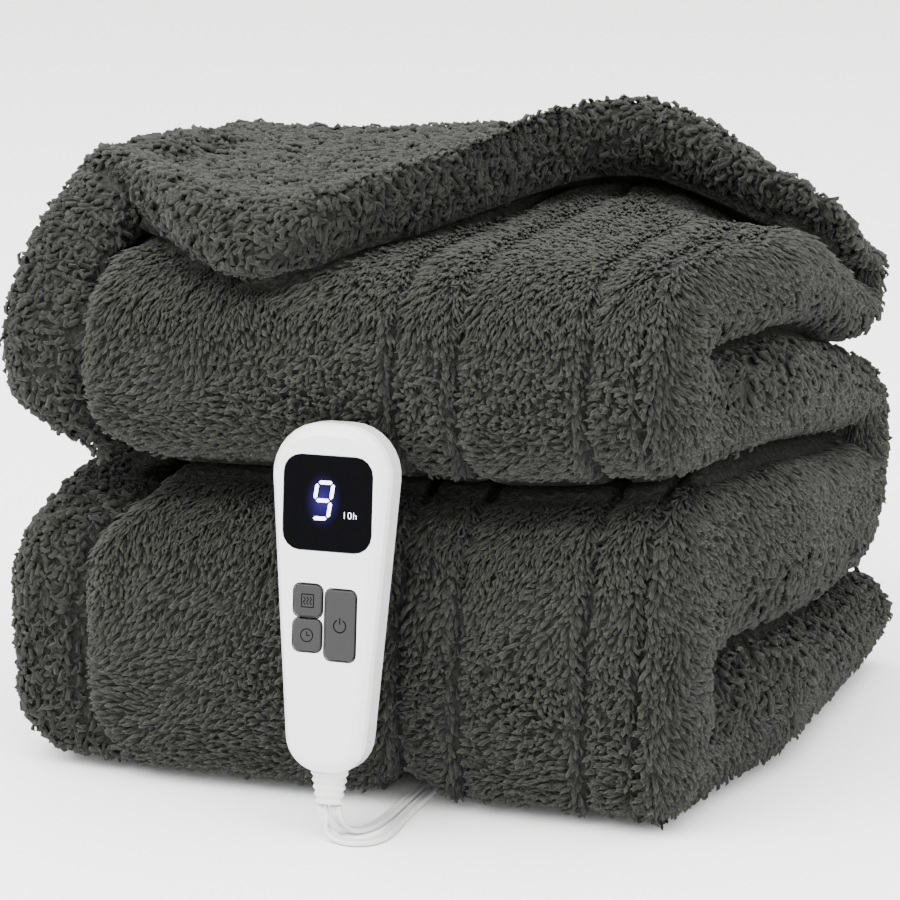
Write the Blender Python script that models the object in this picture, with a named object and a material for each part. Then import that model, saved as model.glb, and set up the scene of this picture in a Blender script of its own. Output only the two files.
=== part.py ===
"""Electric heated throw, folded for the shelf, with its handset leaning on the front.

The throw is one thick quilted cloth. One face has a long combed pile, the other a short curly one. It lies
folded back and forth in five layers: four deep ones, and a thinner fifth that is turned forward over the top as
a flap. Metres, +Z up, +X to the right along the front folds, +Y to the back. The origin is on the floor, below
the middle of the cloth.
"""

import math

import bmesh
import bpy
import numpy as np
from mathutils import Matrix, Vector

MM = 0.001
GAP = 0.3 * MM  # between pieces that touch

# ---------------------------------------------------------------- driving dimensions: the cloth
LEFT = -160 * MM  # ends of the folded cloth
RIGHT = 160 * MM
FRONT = -146 * MM  # foremost point of the two front folds
BACK = 127 * MM  # rearmost point of the back folds
LAYER_GAP = 2 * MM
# Layer heights before the cloth settles, from the floor up.
LAYERS = (
    # name, bottom, top
    ("first", 0 * MM, 62 * MM),
    ("second", 64 * MM, 126 * MM),
    ("third", 129 * MM, 176 * MM),
    ("fourth", 178 * MM, 221 * MM),
)
FLAP_THICK = 23 * MM
FRONT_FOLD_DEPTH = 62 * MM
BACK_FOLD_DEPTH = 40 * MM
TOP_FOLD_DEPTH = 32 * MM
FREE_END_DEPTH = 14 * MM  # the first layer's rounded hem, at the back
# Exponents of the rounded shapes: 2 is an ellipse, more is squarer.
FOLD_SQUARENESS = 2.4
RESTING_SQUARENESS = 5.0  # lower half of the fold that lies on the floor
END_SQUARENESS = 2.3
LEFT_END_ROUND = 21 * MM  # how far in from its ends a layer is rounded
RIGHT_END_ROUND = 27 * MM

SEAMS = (22 * MM, 48 * MM, 100 * MM, 128 * MM)  # stitched wire channels, as X
SEAM_HALF_WIDTH = 5 * MM
SEAM_DEPTH = 3 * MM

BAND_WIDTH = 42 * MM  # the curly band that shows at the left end
BAND_SET_BACK = 8 * MM
BAND_GROOVE = 5 * MM
BAND_TUCK = 18 * MM  # how much wider the band is where it runs in under a fold
BAND_FLOOR_FADE = 28 * MM  # below this height the band comes level with the combed face
BULGE_ROUND = 16 * MM  # rounded end of the combed face beside the band

TUNNEL_X = 24.2 * MM # the leads pass under the cloth here
TUNNEL_HALF_FLAT = 9 * MM
TUNNEL_HALF_WIDTH = 15.5 * MM
TUNNEL_HEIGHT = 7.5 * MM
TUNNEL_FADE = 45 * MM  # height at which the cloth no longer feels the leads

# The flap's front edge in plan, how far it stands off the layer below, and half the thickness of its roll.
FLAP_EDGE = (
    # x, y, lift, roll
    (-160 * MM, -56 * MM, 0 * MM, 15 * MM),
    (-139 * MM, -66 * MM, 0 * MM, 15 * MM),
    (-107 * MM, -98 * MM, 0 * MM, 15 * MM),
    (-78 * MM, -127 * MM, 0 * MM, 15 * MM),
    (-52 * MM, -140 * MM, 0 * MM, 15 * MM),
    (-30 * MM, -139 * MM, 0 * MM, 15 * MM),
    (-10 * MM, -118 * MM, 0 * MM, 15 * MM),
    (4 * MM, -86 * MM, 1 * MM, 15 * MM),
    (14 * MM, -46 * MM, 3 * MM, 15 * MM),
    (24 * MM, -2 * MM, 5 * MM, 16 * MM),
    (34 * MM, 34 * MM, 6 * MM, 16 * MM),
    (50 * MM, 54 * MM, 5 * MM, 17 * MM),
    (74 * MM, 56 * MM, 5 * MM, 18 * MM),
    (100 * MM, 48 * MM, 7 * MM, 18 * MM),
    (137 * MM, 40 * MM, 4 * MM, 16 * MM),
    (160 * MM, 44 * MM, 0 * MM, 14 * MM),
)

# The flap's left margin turns down over the front as a roll: its middle line, and its half sizes.
SHOULDER = (
    # x, y, z, half width, half thickness
    (-128 * MM, 72 * MM, 234 * MM, 17 * MM, 9 * MM),
    (-133 * MM, 14 * MM, 237 * MM, 25 * MM, 15 * MM),
    (-135 * MM, -50 * MM, 233 * MM, 25 * MM, 16 * MM),
    (-138 * MM, -94 * MM, 215 * MM, 22 * MM, 15 * MM),
    (-139 * MM, -118 * MM, 187 * MM, 21 * MM, 15 * MM),
    (-133 * MM, -124 * MM, 160 * MM, 19 * MM, 15 * MM),
    (-121 * MM, -114 * MM, 139 * MM, 13 * MM, 10 * MM),
)

# Columns of points across the cloth, left to right.
COLUMNS = (
    [LEFT + d * MM for d in (0, 1.2, 5, 11, 19, 29, 38, 43, 49, 58)]
    + [d * MM for d in (-84, -60, -36, -14, 0, 8)]
    + [TUNNEL_X - TUNNEL_HALF_FLAT, 18 * MM, SEAMS[0], 26 * MM]
    + [TUNNEL_X + TUNNEL_HALF_FLAT, TUNNEL_X + TUNNEL_HALF_WIDTH]
    + [SEAMS[1] - SEAM_HALF_WIDTH, SEAMS[1], SEAMS[1] + SEAM_HALF_WIDTH, 66 * MM, 82 * MM]
    + [SEAMS[2] - SEAM_HALF_WIDTH, SEAMS[2], SEAMS[2] + SEAM_HALF_WIDTH, 114 * MM]
    + [SEAMS[3] - SEAM_HALF_WIDTH, SEAMS[3], SEAMS[3] + SEAM_HALF_WIDTH]
    + [RIGHT - d * MM for d in (18, 9, 2.5, 0)]
)


# ---------------------------------------------------------------- driving dimensions: the handset
HANDSET_BASE = (6.6 * MM, -175.0 * MM, 26.2 * MM)  # middle of its lower end, on the split between its shells
HANDSET_LEAN = 7.5  # degrees back from upright
HANDSET_TILT = 0.9  # degrees, its top to the left
HANDSET_LENGTH = 137 * MM
HANDSET_TOP_HALF = 26.4 * MM
HANDSET_FOOT_HALF = 15.8 * MM
HANDSET_TOP_ROUND = 20 * MM
HANDSET_FOOT_ROUND = 15 * MM
# A shell's outline is drawn in by the first number at the height of the second above the split.
FRONT_SHELL = ((0, 0.15 * MM), (0, 4.5 * MM), (0.8 * MM, 6.7 * MM), (2.6 * MM, 8.6 * MM), (4.8 * MM, 9.6 * MM))
BACK_SHELL = ((0, 0.15 * MM), (0, 4.5 * MM), (1.2 * MM, 7.0 * MM), (3.6 * MM, 8.9 * MM), (6.5 * MM, 9.6 * MM))
FACE = FRONT_SHELL[-1][1]
WINDOW = dict(at=(0, 106.3 * MM), size=(36.6 * MM, 36.9 * MM), corner=7 * MM)
WINDOW_THICK = 1.1 * MM
KEYS = {
    # place on the face across and up, width and height
    "key_heat": dict(at=(-7.0 * MM, 68.1 * MM), size=(11.4 * MM, 12.3 * MM), corner=2.5 * MM),
    "key_timer": dict(at=(-7.0 * MM, 54.6 * MM), size=(11.4 * MM, 12.3 * MM), corner=2.5 * MM),
    "key_power": dict(at=(6.6 * MM, 59.4 * MM), size=(12.2 * MM, 27.2 * MM), corner=2.5 * MM),
}
KEY_CLEARANCE = 0.35 * MM
KEY_PROUD = 0.6 * MM
KEY_THICK = 2.3 * MM
KEY_POCKET = 3.3 * MM  # leaves the 0.8 mm stroke, and as much again below it

RELIEF_INSIDE = 7.5 * MM  # length of the strain relief held in the shells, and below them
RELIEF_BELOW = 12.5 * MM
RELIEF_TOP_HALF = (7.6 * MM, 5.0 * MM)
RELIEF_END_HALF = (5.5 * MM, 3.3 * MM)
RELIEF_RIBS = 4

# ---------------------------------------------------------------- driving dimensions: the leads
LEAD = 4.8 * MM  # width of each flat twin lead, the tube's diameter here
LEAD_THICK = 2.4 * MM
LEAD_PITCH = 5.0 * MM  # between turns that lie side by side in a coil
LAYER_PITCH = 2.5 * MM  # between turns that lie on each other
TURN_RADIUS = 28.5 * MM  # middle of a coil's turns
# Routes, in millimetres: from the strain relief, under the cloth, to the coil behind it.
MAINS_ROUTE = (
    (9.6, -176.8, 12.9),
    (9.9, -176.8, 10.2),
    (11.0, -176.0, 6.8),
    (12.9, -174.2, 4.3),
    (15.9, -170.9, 2.8),
    (18.6, -166.7, 2.5),
    (20.4, -160.3, 2.5),
    (21.3, -148.0, 2.5),
    (21.4, -130.0, 2.5),
    (21.4, -60.0, 2.5),
    (21.4, 0.0, 2.5),
    (21.4, 60.0, 2.5),
    (21.4, 120.0, 2.5),
    (21.4, 152.6, 2.5),
)
THROW_ROUTE = (
    (4.0, -176.8, 12.9),
    (4.3, -177.2, 10.6),
    (5.5, -178.1, 7.3),
    (7.7, -179.6, 4.7),
    (11.5, -181.8, 2.8),
    (17.0, -183.6, 2.5),
    (22.0, -182.8, 2.5),
    (26.0, -179.7, 2.5),
    (28.1, -174.6, 2.5),
    (28.3, -163.0, 2.5),
    (27.4, -148.0, 2.5),
    (27.0, -130.0, 2.5),
    (27.0, -60.0, 2.5),
    (27.0, 0.0, 2.5),
    (27.0, 60.0, 2.5),
    (27.0, 118.0, 2.5),
    (28.6, 133.0, 2.5),
    (32.0, 146.0, 2.5),
    (33.0, 157.0, 2.5),
)
MAINS_TAIL = ((-36.9, 211.0, 3.2), (-44.0, 211.0, 5.0), (-51.0, 211.0, 6.9), (-58.0, 211.0, 7.0))
THROW_TAIL = (
    (78.7, 202.5, 4.8),
    (90.0, 202.7, 5.4),
    (100.0, 201.6, 6.2),
    (109.0, 198.4, 6.4),
    (115.2, 193.0, 6.4),
    (117.7, 186.6, 6.4),
    (118.0, 180.5, 6.4),
)
MAINS_COIL = dict(middle=(-17.1 * MM, 172.5 * MM), wide=5, high=2)
THROW_COIL = dict(middle=(61.5 * MM, 174 * MM), wide=1, high=3)
LEAD_POINT_EVERY = 1.8 * LEAD

PLUG_BODY = (28 * MM, 26 * MM, 13.4 * MM)  # along the lead, across, high
PLUG_RELIEF = 20 * MM
BLADE = (17 * MM, 1.5 * MM, 6.4 * MM)
BLADE_APART = 12.7 * MM
CONNECTOR_BODY = (19 * MM, 20 * MM, 12 * MM)
CONNECTOR_RELIEF = 20 * MM
INLET_BODY = (12.6 * MM, 30 * MM, 13 * MM)


# ---------------------------------------------------------------- small helpers
def smooth(t):
    """0 below t=0, 1 above t=1, and a soft S between."""
    t = np.clip(t, 0.0, 1.0)
    return t * t * (3 - 2 * t)


def bell(t):
    """1 at t=0 and nearly 0 past t=2."""
    return np.exp(-np.square(t))


def rounded(inward, squareness):
    """Height of a rounded end at a share of the way out to its tip: 1 inside, 0 at the tip."""
    return (1 - np.clip(inward, 0, 1) ** squareness) ** (1 / squareness)


def material(name, colour, roughness, metallic=0.0):
    """A Principled BSDF of one colour."""
    made = bpy.data.materials.new(name)
    made.use_nodes = True
    shader = made.node_tree.nodes["Principled BSDF"]
    shader.inputs["Base Color"].default_value = (*colour, 1)
    shader.inputs["Roughness"].default_value = roughness
    shader.inputs["Metallic"].default_value = metallic
    return made


def add_object(name, mesh, finish, smooth_angle=None):
    """Link a new mesh object that wears this material."""
    obj = bpy.data.objects.new(name, mesh)
    bpy.context.scene.collection.objects.link(obj)
    mesh.materials.append(finish)
    if smooth_angle:
        mesh.shade_smooth()
        mesh.set_sharp_from_angle(angle=math.radians(smooth_angle))
    return obj


def outward(mesh):
    """Point every face of a closed mesh outwards."""
    work = bmesh.new()
    work.from_mesh(mesh)
    bmesh.ops.recalc_face_normals(work, faces=work.faces)
    work.to_mesh(mesh)
    work.free()


def lofted(name, rings, cap="fan"):
    """A closed mesh through rings of equal counts. A fan cap is one face. A ladder cap joins the ring's two
    halves point by point, for a ring whose second half runs back over the first."""
    rings = np.asarray(rings, float)
    count, around = rings.shape[:2]
    ids = np.arange(count * around).reshape(count, around)
    step = np.roll(ids, -1, axis=1)
    faces = np.stack([ids[:-1], step[:-1], step[1:], ids[1:]], -1).reshape(-1, 4).tolist()
    for end in (ids[0], ids[-1]):
        if cap == "fan":
            faces.append(end.tolist())
            continue
        there = end[: around // 2 + 1]
        back = np.concatenate([end[:1], end[around // 2 :][::-1]])
        steps = np.stack([there[:-1], there[1:], back[1:], back[:-1]], -1).tolist()
        faces += [list(dict.fromkeys(face)) for face in steps]
    mesh = bpy.data.meshes.new(name)
    mesh.from_pydata(rings.reshape(-1, 3).tolist(), [], faces)
    outward(mesh)
    return mesh


def table_column(table, column, x):
    """Read one column of a table against its first, with a smooth curve through its rows."""
    rows = np.array(table)
    slopes = np.gradient(rows[:, column], rows[:, 0])
    k = np.clip(np.searchsorted(rows[:, 0], x) - 1, 0, len(rows) - 2)
    width = rows[k + 1, 0] - rows[k, 0]
    t = np.clip((x - rows[k, 0]) / width, 0, 1)
    return (
        rows[k, column] * (1 + 2 * t) * (1 - t) ** 2
        + rows[k + 1, column] * t**2 * (3 - 2 * t)
        + width * slopes[k] * t * (1 - t) ** 2
        - width * slopes[k + 1] * t**2 * (1 - t)
    )


def curve_through(points, count):
    """Evenly spaced points on a smooth curve through a route's own points, by centripetal Catmull-Rom."""
    route = np.asarray(points, float)
    route = np.vstack([2 * route[0] - route[1], route, 2 * route[-1] - route[-2]])
    knots = np.concatenate([[0], np.cumsum(np.linalg.norm(np.diff(route, axis=0), axis=1) ** 0.5)])
    fine = []
    for i in range(1, len(route) - 2):
        t = np.linspace(knots[i], knots[i + 1], 24, endpoint=i == len(route) - 3)[:, None]
        p, k = route[i - 1 : i + 3], knots[i - 1 : i + 3]
        a = [((k[j + 1] - t) * p[j] + (t - k[j]) * p[j + 1]) / (k[j + 1] - k[j]) for j in range(3)]
        b = [((k[j + 2] - t) * a[j] + (t - k[j]) * a[j + 1]) / (k[j + 2] - k[j]) for j in range(2)]
        fine.append(((k[2] - t) * b[0] + (t - k[1]) * b[1]) / (k[2] - k[1]))
    fine = np.vstack(fine)
    along = np.concatenate([[0], np.cumsum(np.linalg.norm(np.diff(fine, axis=0), axis=1))])
    even = np.linspace(0, along[-1], count)
    return np.stack([np.interp(even, along, fine[:, axis]) for axis in range(fine.shape[1])], -1)


def apply_boolean(obj, cutter, operation):
    """Join or cut with a helper that is left out of the build."""
    cutter.hide_render = True
    cutter.display_type = "WIRE"
    modifier = obj.modifiers.new(cutter.name, "BOOLEAN")
    modifier.operation = operation
    modifier.solver = "EXACT"
    modifier.object = cutter


# ---------------------------------------------------------------- the cloth's section, in Y and Z
def fold_arc(low, high, depth, mid_y, towards, steps, squareness=FOLD_SQUARENESS):
    """Points (y, z) of a rounded fold that rises from low to high and stands out by depth from mid_y, towards
    the front (-1) or the back (+1). The exponent may differ between its lower and upper half."""
    angle = np.linspace(-0.5 * math.pi, 0.5 * math.pi, steps + 1)[1:-1]
    exponent = 2 / np.where(angle < 0, squareness, FOLD_SQUARENESS)
    out = np.abs(np.cos(angle)) ** exponent * depth
    up = np.sign(np.sin(angle)) * np.abs(np.sin(angle)) ** exponent
    return np.stack([mid_y + towards * out, (low + high) / 2 + (high - low) / 2 * up], -1)


def crease_arc(low, high, mid_y, towards, steps):
    """Points of the tight inner side of a fold, a half circle across the gap between two layers."""
    angle = np.linspace(-0.5 * math.pi, 0.5 * math.pi, steps + 1)[1:-1]
    half = (high - low) / 2
    return np.stack([mid_y + towards * half * np.cos(angle), (low + high) / 2 + half * np.sin(angle)], -1)


def level_run(y_from, y_to, z, steps):
    """Points of one face along a layer's level run."""
    y = np.linspace(y_from, y_to, steps)
    return np.stack([y, np.full(steps, z)], -1)


def section(run_steps, fold_steps):
    """The back-and-forth section of the four deep layers and the fold into the flap.

    Each row is a station: (y, z) on the combed face, (y, z) on the curly face, how much of the left band's
    set-back the combed face takes there, and how deep its seams are.
    """
    (_, z0, z1), (_, z2, z3), (_, z4, z5), (_, z6, z7) = LAYERS
    front_y = FRONT + FRONT_FOLD_DEPTH
    back_y = BACK - BACK_FOLD_DEPTH
    top_y = BACK - TOP_FOLD_DEPTH
    end_y = BACK - FREE_END_DEPTH
    hidden, shown = 0.15, 1.0
    rows = []

    def take(combed, curly, band, seam):
        band = np.broadcast_to(band, len(combed))
        rows.append(np.column_stack([combed, curly, band, np.full(len(combed), seam)]))

    def towards_front(steps):
        return hidden + (shown - hidden) * smooth(np.linspace(0, 1, steps)) ** 2

    # the first layer's rounded hem, then forward along the floor and round the lower front fold
    angle = np.radians((14, 36, 62))
    out = FREE_END_DEPTH * np.cos(angle) ** (2 / RESTING_SQUARENESS)
    rise = (z1 - z0) / 2 * np.sin(angle) ** (2 / RESTING_SQUARENESS)
    take(np.stack([end_y + out, z1 / 2 - rise], -1), np.stack([end_y + out, z1 / 2 + rise], -1), hidden, 0)
    take(
        level_run(end_y, front_y, z0, run_steps),
        level_run(end_y, front_y, z1, run_steps),
        towards_front(run_steps),
        0,
    )
    take(
        fold_arc(z0, z3, FRONT_FOLD_DEPTH, front_y, -1, fold_steps, RESTING_SQUARENESS),
        crease_arc(z1, z2, front_y, -1, fold_steps),
        shown,
        1,
    )
    # the second layer to the back, and round into the third, forward again
    take(
        level_run(front_y, back_y, z3, run_steps),
        level_run(front_y, back_y, z2, run_steps),
        towards_front(run_steps)[::-1],
        0.3,
    )
    take(
        crease_arc(z3, z4, back_y, 1, fold_steps),
        fold_arc(z2, z5, BACK_FOLD_DEPTH, back_y, 1, fold_steps),
        hidden,
        0,
    )
    take(
        level_run(back_y, front_y, z4, run_steps),
        level_run(back_y, front_y, z5, run_steps),
        towards_front(run_steps),
        0.3,
    )
    # round the upper front fold, and the fourth layer to the back and up into the flap
    take(
        fold_arc(z4, z7, FRONT_FOLD_DEPTH, front_y, -1, fold_steps),
        crease_arc(z5, z6, front_y, -1, fold_steps),
        shown,
        1,
    )
    take(
        level_run(front_y, top_y, z7, run_steps + 2),
        level_run(front_y, top_y, z6, run_steps + 2),
        towards_front(run_steps + 2)[::-1],
        1,
    )
    take(
        crease_arc(z7, z7 + LAYER_GAP, top_y, 1, fold_steps),
        fold_arc(z6, z7 + LAYER_GAP + FLAP_THICK, TOP_FOLD_DEPTH, top_y, 1, fold_steps),
        hidden,
        0,
    )
    return np.vstack(rows)


def top_of_fourth(y):
    """Height of the fourth layer's upper face, which rounds down at the front fold."""
    low, high = LAYERS[2][1], LAYERS[3][2]
    ahead = np.clip((FRONT + FRONT_FOLD_DEPTH - y) / FRONT_FOLD_DEPTH, 0, 0.97)
    return (low + high) / 2 + (high - low) / 2 * rounded(ahead, FOLD_SQUARENESS)


def flap_faces(x, reach, turn=0.0):
    """Y, and the heights of the flap's lower and upper face, at a share of its reach from the back fold to its
    front edge. Turn, in radians, carries on round the rolled edge."""
    start_y = BACK - TOP_FOLD_DEPTH
    edge_y, lift, roll = (table_column(FLAP_EDGE, column, x) for column in (1, 2, 3))
    edge_y = edge_y + roll
    y = start_y + reach * (edge_y - start_y)
    low = top_of_fourth(y - 0.45 * roll * math.sin(turn)) + LAYER_GAP + lift * smooth(1.4 * reach - 0.4)
    plump = smooth(1 - (y - edge_y) / (34 * MM)) * smooth(2 * reach)
    half = (FLAP_THICK + (2 * roll - FLAP_THICK) * plump) / 2
    middle = low + half
    return y - roll * math.sin(turn), middle - half * math.cos(turn), middle + half * math.cos(turn)


def end_profile(x):
    """Share of a layer's half thickness at x: 1 in the middle, falling to 0 along a rounded end."""
    left = rounded(1 - (x - LEFT) / LEFT_END_ROUND, END_SQUARENESS)
    return left * rounded(1 - (RIGHT - x) / RIGHT_END_ROUND, END_SQUARENESS)


def relief(x, z, band, seam):
    """How far the combed face is drawn in at the seams and at the left band."""
    depth = sum(bell((x - at) / (0.6 * SEAM_HALF_WIDTH)) for at in SEAMS) * SEAM_DEPTH * seam
    band = band * smooth(z / BAND_FLOOR_FADE)
    tuck = bell((z - LAYERS[1][2]) / (14 * MM)) + bell(z / (18 * MM))
    past = x - (LEFT + BAND_WIDTH + BAND_TUCK * tuck)
    bulge = rounded(1 - past / BULGE_ROUND, 2)
    depth = depth + band * BAND_SET_BACK * np.where(past < 0, 1.0, 1 - bulge)
    return depth + band * BAND_GROOVE * bell(past / (5 * MM))


def settled(points):
    """The cloth as it lies: higher at the front right, lower at the back right and the left, its lowest layer
    pressed flatter at the right, its front right corner drawn in, and lifted off the leads under it."""
    x, y, z = points[..., 0], points[..., 1], points[..., 2]
    level = z / LAYERS[3][2]
    right, left = smooth((x - 50 * MM) / (100 * MM)), smooth((-x - 10 * MM) / (120 * MM))
    low_front = smooth((-70 * MM - y) / (30 * MM)) * (1 - smooth((level - 0.38) / 0.14))
    ahead = smooth((30 * MM - y) / (80 * MM)) * (1 - 0.9 * low_front)
    behind, front = smooth((y + 10 * MM) / (120 * MM)), smooth((-y - 60 * MM) / (80 * MM))
    lifted = 9 * MM * right * ahead * smooth(z / (60 * MM)) * (1 - 0.6 * smooth((level - 0.6) / 0.4))
    sunk = 38 * MM * right * behind * level**2 + left * level * (4 * MM + 3 * MM * behind)
    between = bell((z - LAYERS[0][2]) / (36 * MM)) * smooth(z / (45 * MM))
    sunk = sunk + 12 * MM * smooth((x - 40 * MM) / (100 * MM)) * between
    sunk = sunk + 2.5 * MM * bell((x + 50 * MM) / (70 * MM)) * level**2
    across = np.abs(x - TUNNEL_X)
    over = 1 - smooth((across - TUNNEL_HALF_FLAT) / (TUNNEL_HALF_WIDTH - TUNNEL_HALF_FLAT))
    tunnel = TUNNEL_HEIGHT * over * np.clip(1 - z / TUNNEL_FADE, 0, 1)
    drawn_in = 18 * MM * smooth((x - 108 * MM) / (52 * MM)) * smooth((-y - 20 * MM) / (90 * MM))
    waist = 22 * MM * bell((z - LAYERS[1][2]) / (20 * MM)) + 12 * MM * bell(z / (18 * MM))
    drawn_in = drawn_in - waist * smooth((-x - 100 * MM) / (50 * MM)) * front - 1.5 * MM * left
    drawn_in = drawn_in + 4 * MM * smooth((x - 90 * MM) / (70 * MM)) * smooth((level - 0.55) / 0.35)
    wave = 2.5 * MM * np.sin(x / (38 * MM) + z / (50 * MM)) + 4 * MM * right
    return np.stack([x - drawn_in, y + front * wave, z + lifted - sunk + tunnel], -1)


def cloth_rings(columns, run_steps, fold_steps, flap_steps):
    """Closed rings round the cloth, one for each station along its folded length: over the combed face from
    left to right, then back over the curly face."""
    x = np.asarray(columns)
    share = end_profile(x)[:, None]
    faces = [
        (np.broadcast_to(row[:2], (len(x), 2)), np.broadcast_to(row[2:4], (len(x), 2)), row[4], row[5])
        for row in section(run_steps, fold_steps)
    ]
    turns = [(reach, 0.0) for reach in np.linspace(0, 1, flap_steps)]
    turns += [(1.0, math.radians(angle)) for angle in (24, 46, 66, 80)]
    for reach, turn in turns:
        y, low, high = flap_faces(x, reach, turn)
        faces.append((np.stack([y, low], -1), np.stack([y, high], -1), 0.0, 0.0))
    rings = []
    for combed, curly, band, seam in faces:
        middle, half = (combed + curly) / 2, (combed - curly) / 2
        length = np.maximum(np.linalg.norm(half, axis=-1, keepdims=True), 1e-9)
        drawn = np.minimum(relief(x, combed[:, 1], band, seam)[:, None], 0.75 * length * share)
        over = np.column_stack([x, middle + half * share - half / length * drawn])
        back = np.column_stack([x, middle - half * share])[1:-1][::-1]
        rings.append(np.concatenate([over, back]))
    return settled(np.array(rings))


def shoulder_rings(count, around):
    """Rings of the flap's left margin, a flattened roll that turns down over the front."""
    line = curve_through(SHOULDER, count)
    x, y, z, half_width, half_thick = line.T[:, :, None]
    ahead = np.gradient(line[:, 1:3], axis=0)
    ahead /= np.linalg.norm(ahead, axis=1, keepdims=True)
    angle = np.linspace(0, 2 * math.pi, around, endpoint=False)
    across, up = half_width * np.cos(angle), half_thick * np.sin(angle)
    return settled(np.stack([x + across, y + up * ahead[:, 1:], z - up * ahead[:, :1]], -1))


def build_cloth():
    """The folded throw as one solid."""
    finish = material("throw_plush", (0.075, 0.078, 0.067), 0.95)
    rings = cloth_rings(COLUMNS, run_steps=6, fold_steps=9, flap_steps=8)
    cloth = add_object("blanket", lofted("blanket", rings, "ladder"), finish, 50)
    shoulder = add_object("shoulder", lofted("shoulder", shoulder_rings(16, 16)), finish)
    apply_boolean(cloth, shoulder, "UNION")


# ---------------------------------------------------------------- moulded shapes
def outline(corners, rounds, inset=0.0, steps=6):
    """A polygon with rounded corners, drawn in by inset. Corners run counterclockwise. Drawing in keeps each
    arc's middle and shortens its radius."""
    corners = [Vector(corner) for corner in corners]
    points = []
    for k, corner in enumerate(corners):
        before = (corners[k - 1] - corner).normalized()
        after = (corners[(k + 1) % len(corners)] - corner).normalized()
        half = before.angle(after) / 2
        middle = corner + (before + after).normalized() * rounds[k] / math.sin(half)
        start = math.atan2(*(corner + before * rounds[k] / math.tan(half) - middle).yx)
        turn = math.pi - 2 * half
        radius = rounds[k] - inset
        for step in range(steps + 1):
            angle = start + turn * step / steps
            points.append((middle.x + radius * math.cos(angle), middle.y + radius * math.sin(angle)))
    return points


def box_outline(size, corner, inset=0.0, steps=4):
    """A rounded rectangle about the origin."""
    x, y = size[0] / 2, size[1] / 2
    return outline(((-x, -y), (x, -y), (x, y), (-x, y)), [corner] * 4, inset, steps)


def handset_outline(inset=0.0):
    """The handset seen face on, from its lower end up."""
    top, foot = HANDSET_TOP_HALF, HANDSET_FOOT_HALF
    corners = ((-foot, 0), (foot, 0), (top, HANDSET_LENGTH), (-top, HANDSET_LENGTH))
    rounds = [HANDSET_FOOT_ROUND] * 2 + [HANDSET_TOP_ROUND] * 2
    return outline(corners, rounds, inset, steps=8)


def stacked(name, shape, profile, placement):
    """A moulded solid: an outline drawn in by a different amount at each height, then put in its place."""
    rings = [[(x, y, height) for x, y in shape(inset)] for inset, height in profile]
    mesh = lofted(name, rings)
    mesh.transform(placement)
    if placement.determinant() < 0:
        mesh.flip_normals()
    return mesh


def placed(origin, across, up):
    """A placement whose first two axes are these."""
    across, up = Vector(across).normalized(), Vector(up).normalized()
    out = across.cross(up)
    return Matrix.Translation(Vector(origin)) @ Matrix((across, up, out)).transposed().to_4x4()


def handset_placement(across=0.0, up=0.0, out=0.0):
    """On the handset: across its face, up along it, and out from the split between its shells."""
    upright = placed(HANDSET_BASE, (1, 0, 0), (0, 0, 1))
    leaning = Matrix.Rotation(-math.radians(HANDSET_LEAN), 4, "X")
    tilted = Matrix.Rotation(math.radians(HANDSET_TILT), 4, "Z")
    return upright @ leaning @ tilted @ Matrix.Translation((across, up, out))


def pocket(name, spec, clearance, floor):
    """A helper that cuts a pocket into the handset's face."""
    size = tuple(side + 2 * clearance for side in spec["size"])
    mesh = stacked(
        name,
        lambda inset: box_outline(size, spec["corner"] + clearance, inset),
        ((0, floor), (0, FACE + 3 * MM)),
        handset_placement(*spec["at"]),
    )
    return add_object(name, mesh, bpy.data.materials["white_shell"])


def relief_rings(name, placement, length_in, length_out, top_half, end_half, ribs, around=16):
    """A tapered strain relief with ribs round it. It runs down from length_in above its shell's edge."""
    steps = 2 * ribs + 1
    heights = [length_in, 0.0] + [-length_out * (k + 0.5) / steps for k in range(steps)] + [-length_out]
    rings = []
    for k, height in enumerate(heights):
        share = max(0.0, -height / length_out)
        swell = 1.0 if k < 2 or k == len(heights) - 1 else (1.04 if k % 2 == 0 else 0.9)
        wide = (top_half[0] + (end_half[0] - top_half[0]) * share) * swell
        deep = (top_half[1] + (end_half[1] - top_half[1]) * share) * swell
        angles = [2 * math.pi * step / around for step in range(around)]
        rings.append([(wide * math.cos(a), height, deep * math.sin(a)) for a in angles])
    mesh = lofted(name, rings)
    mesh.transform(placement)
    return mesh


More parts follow.
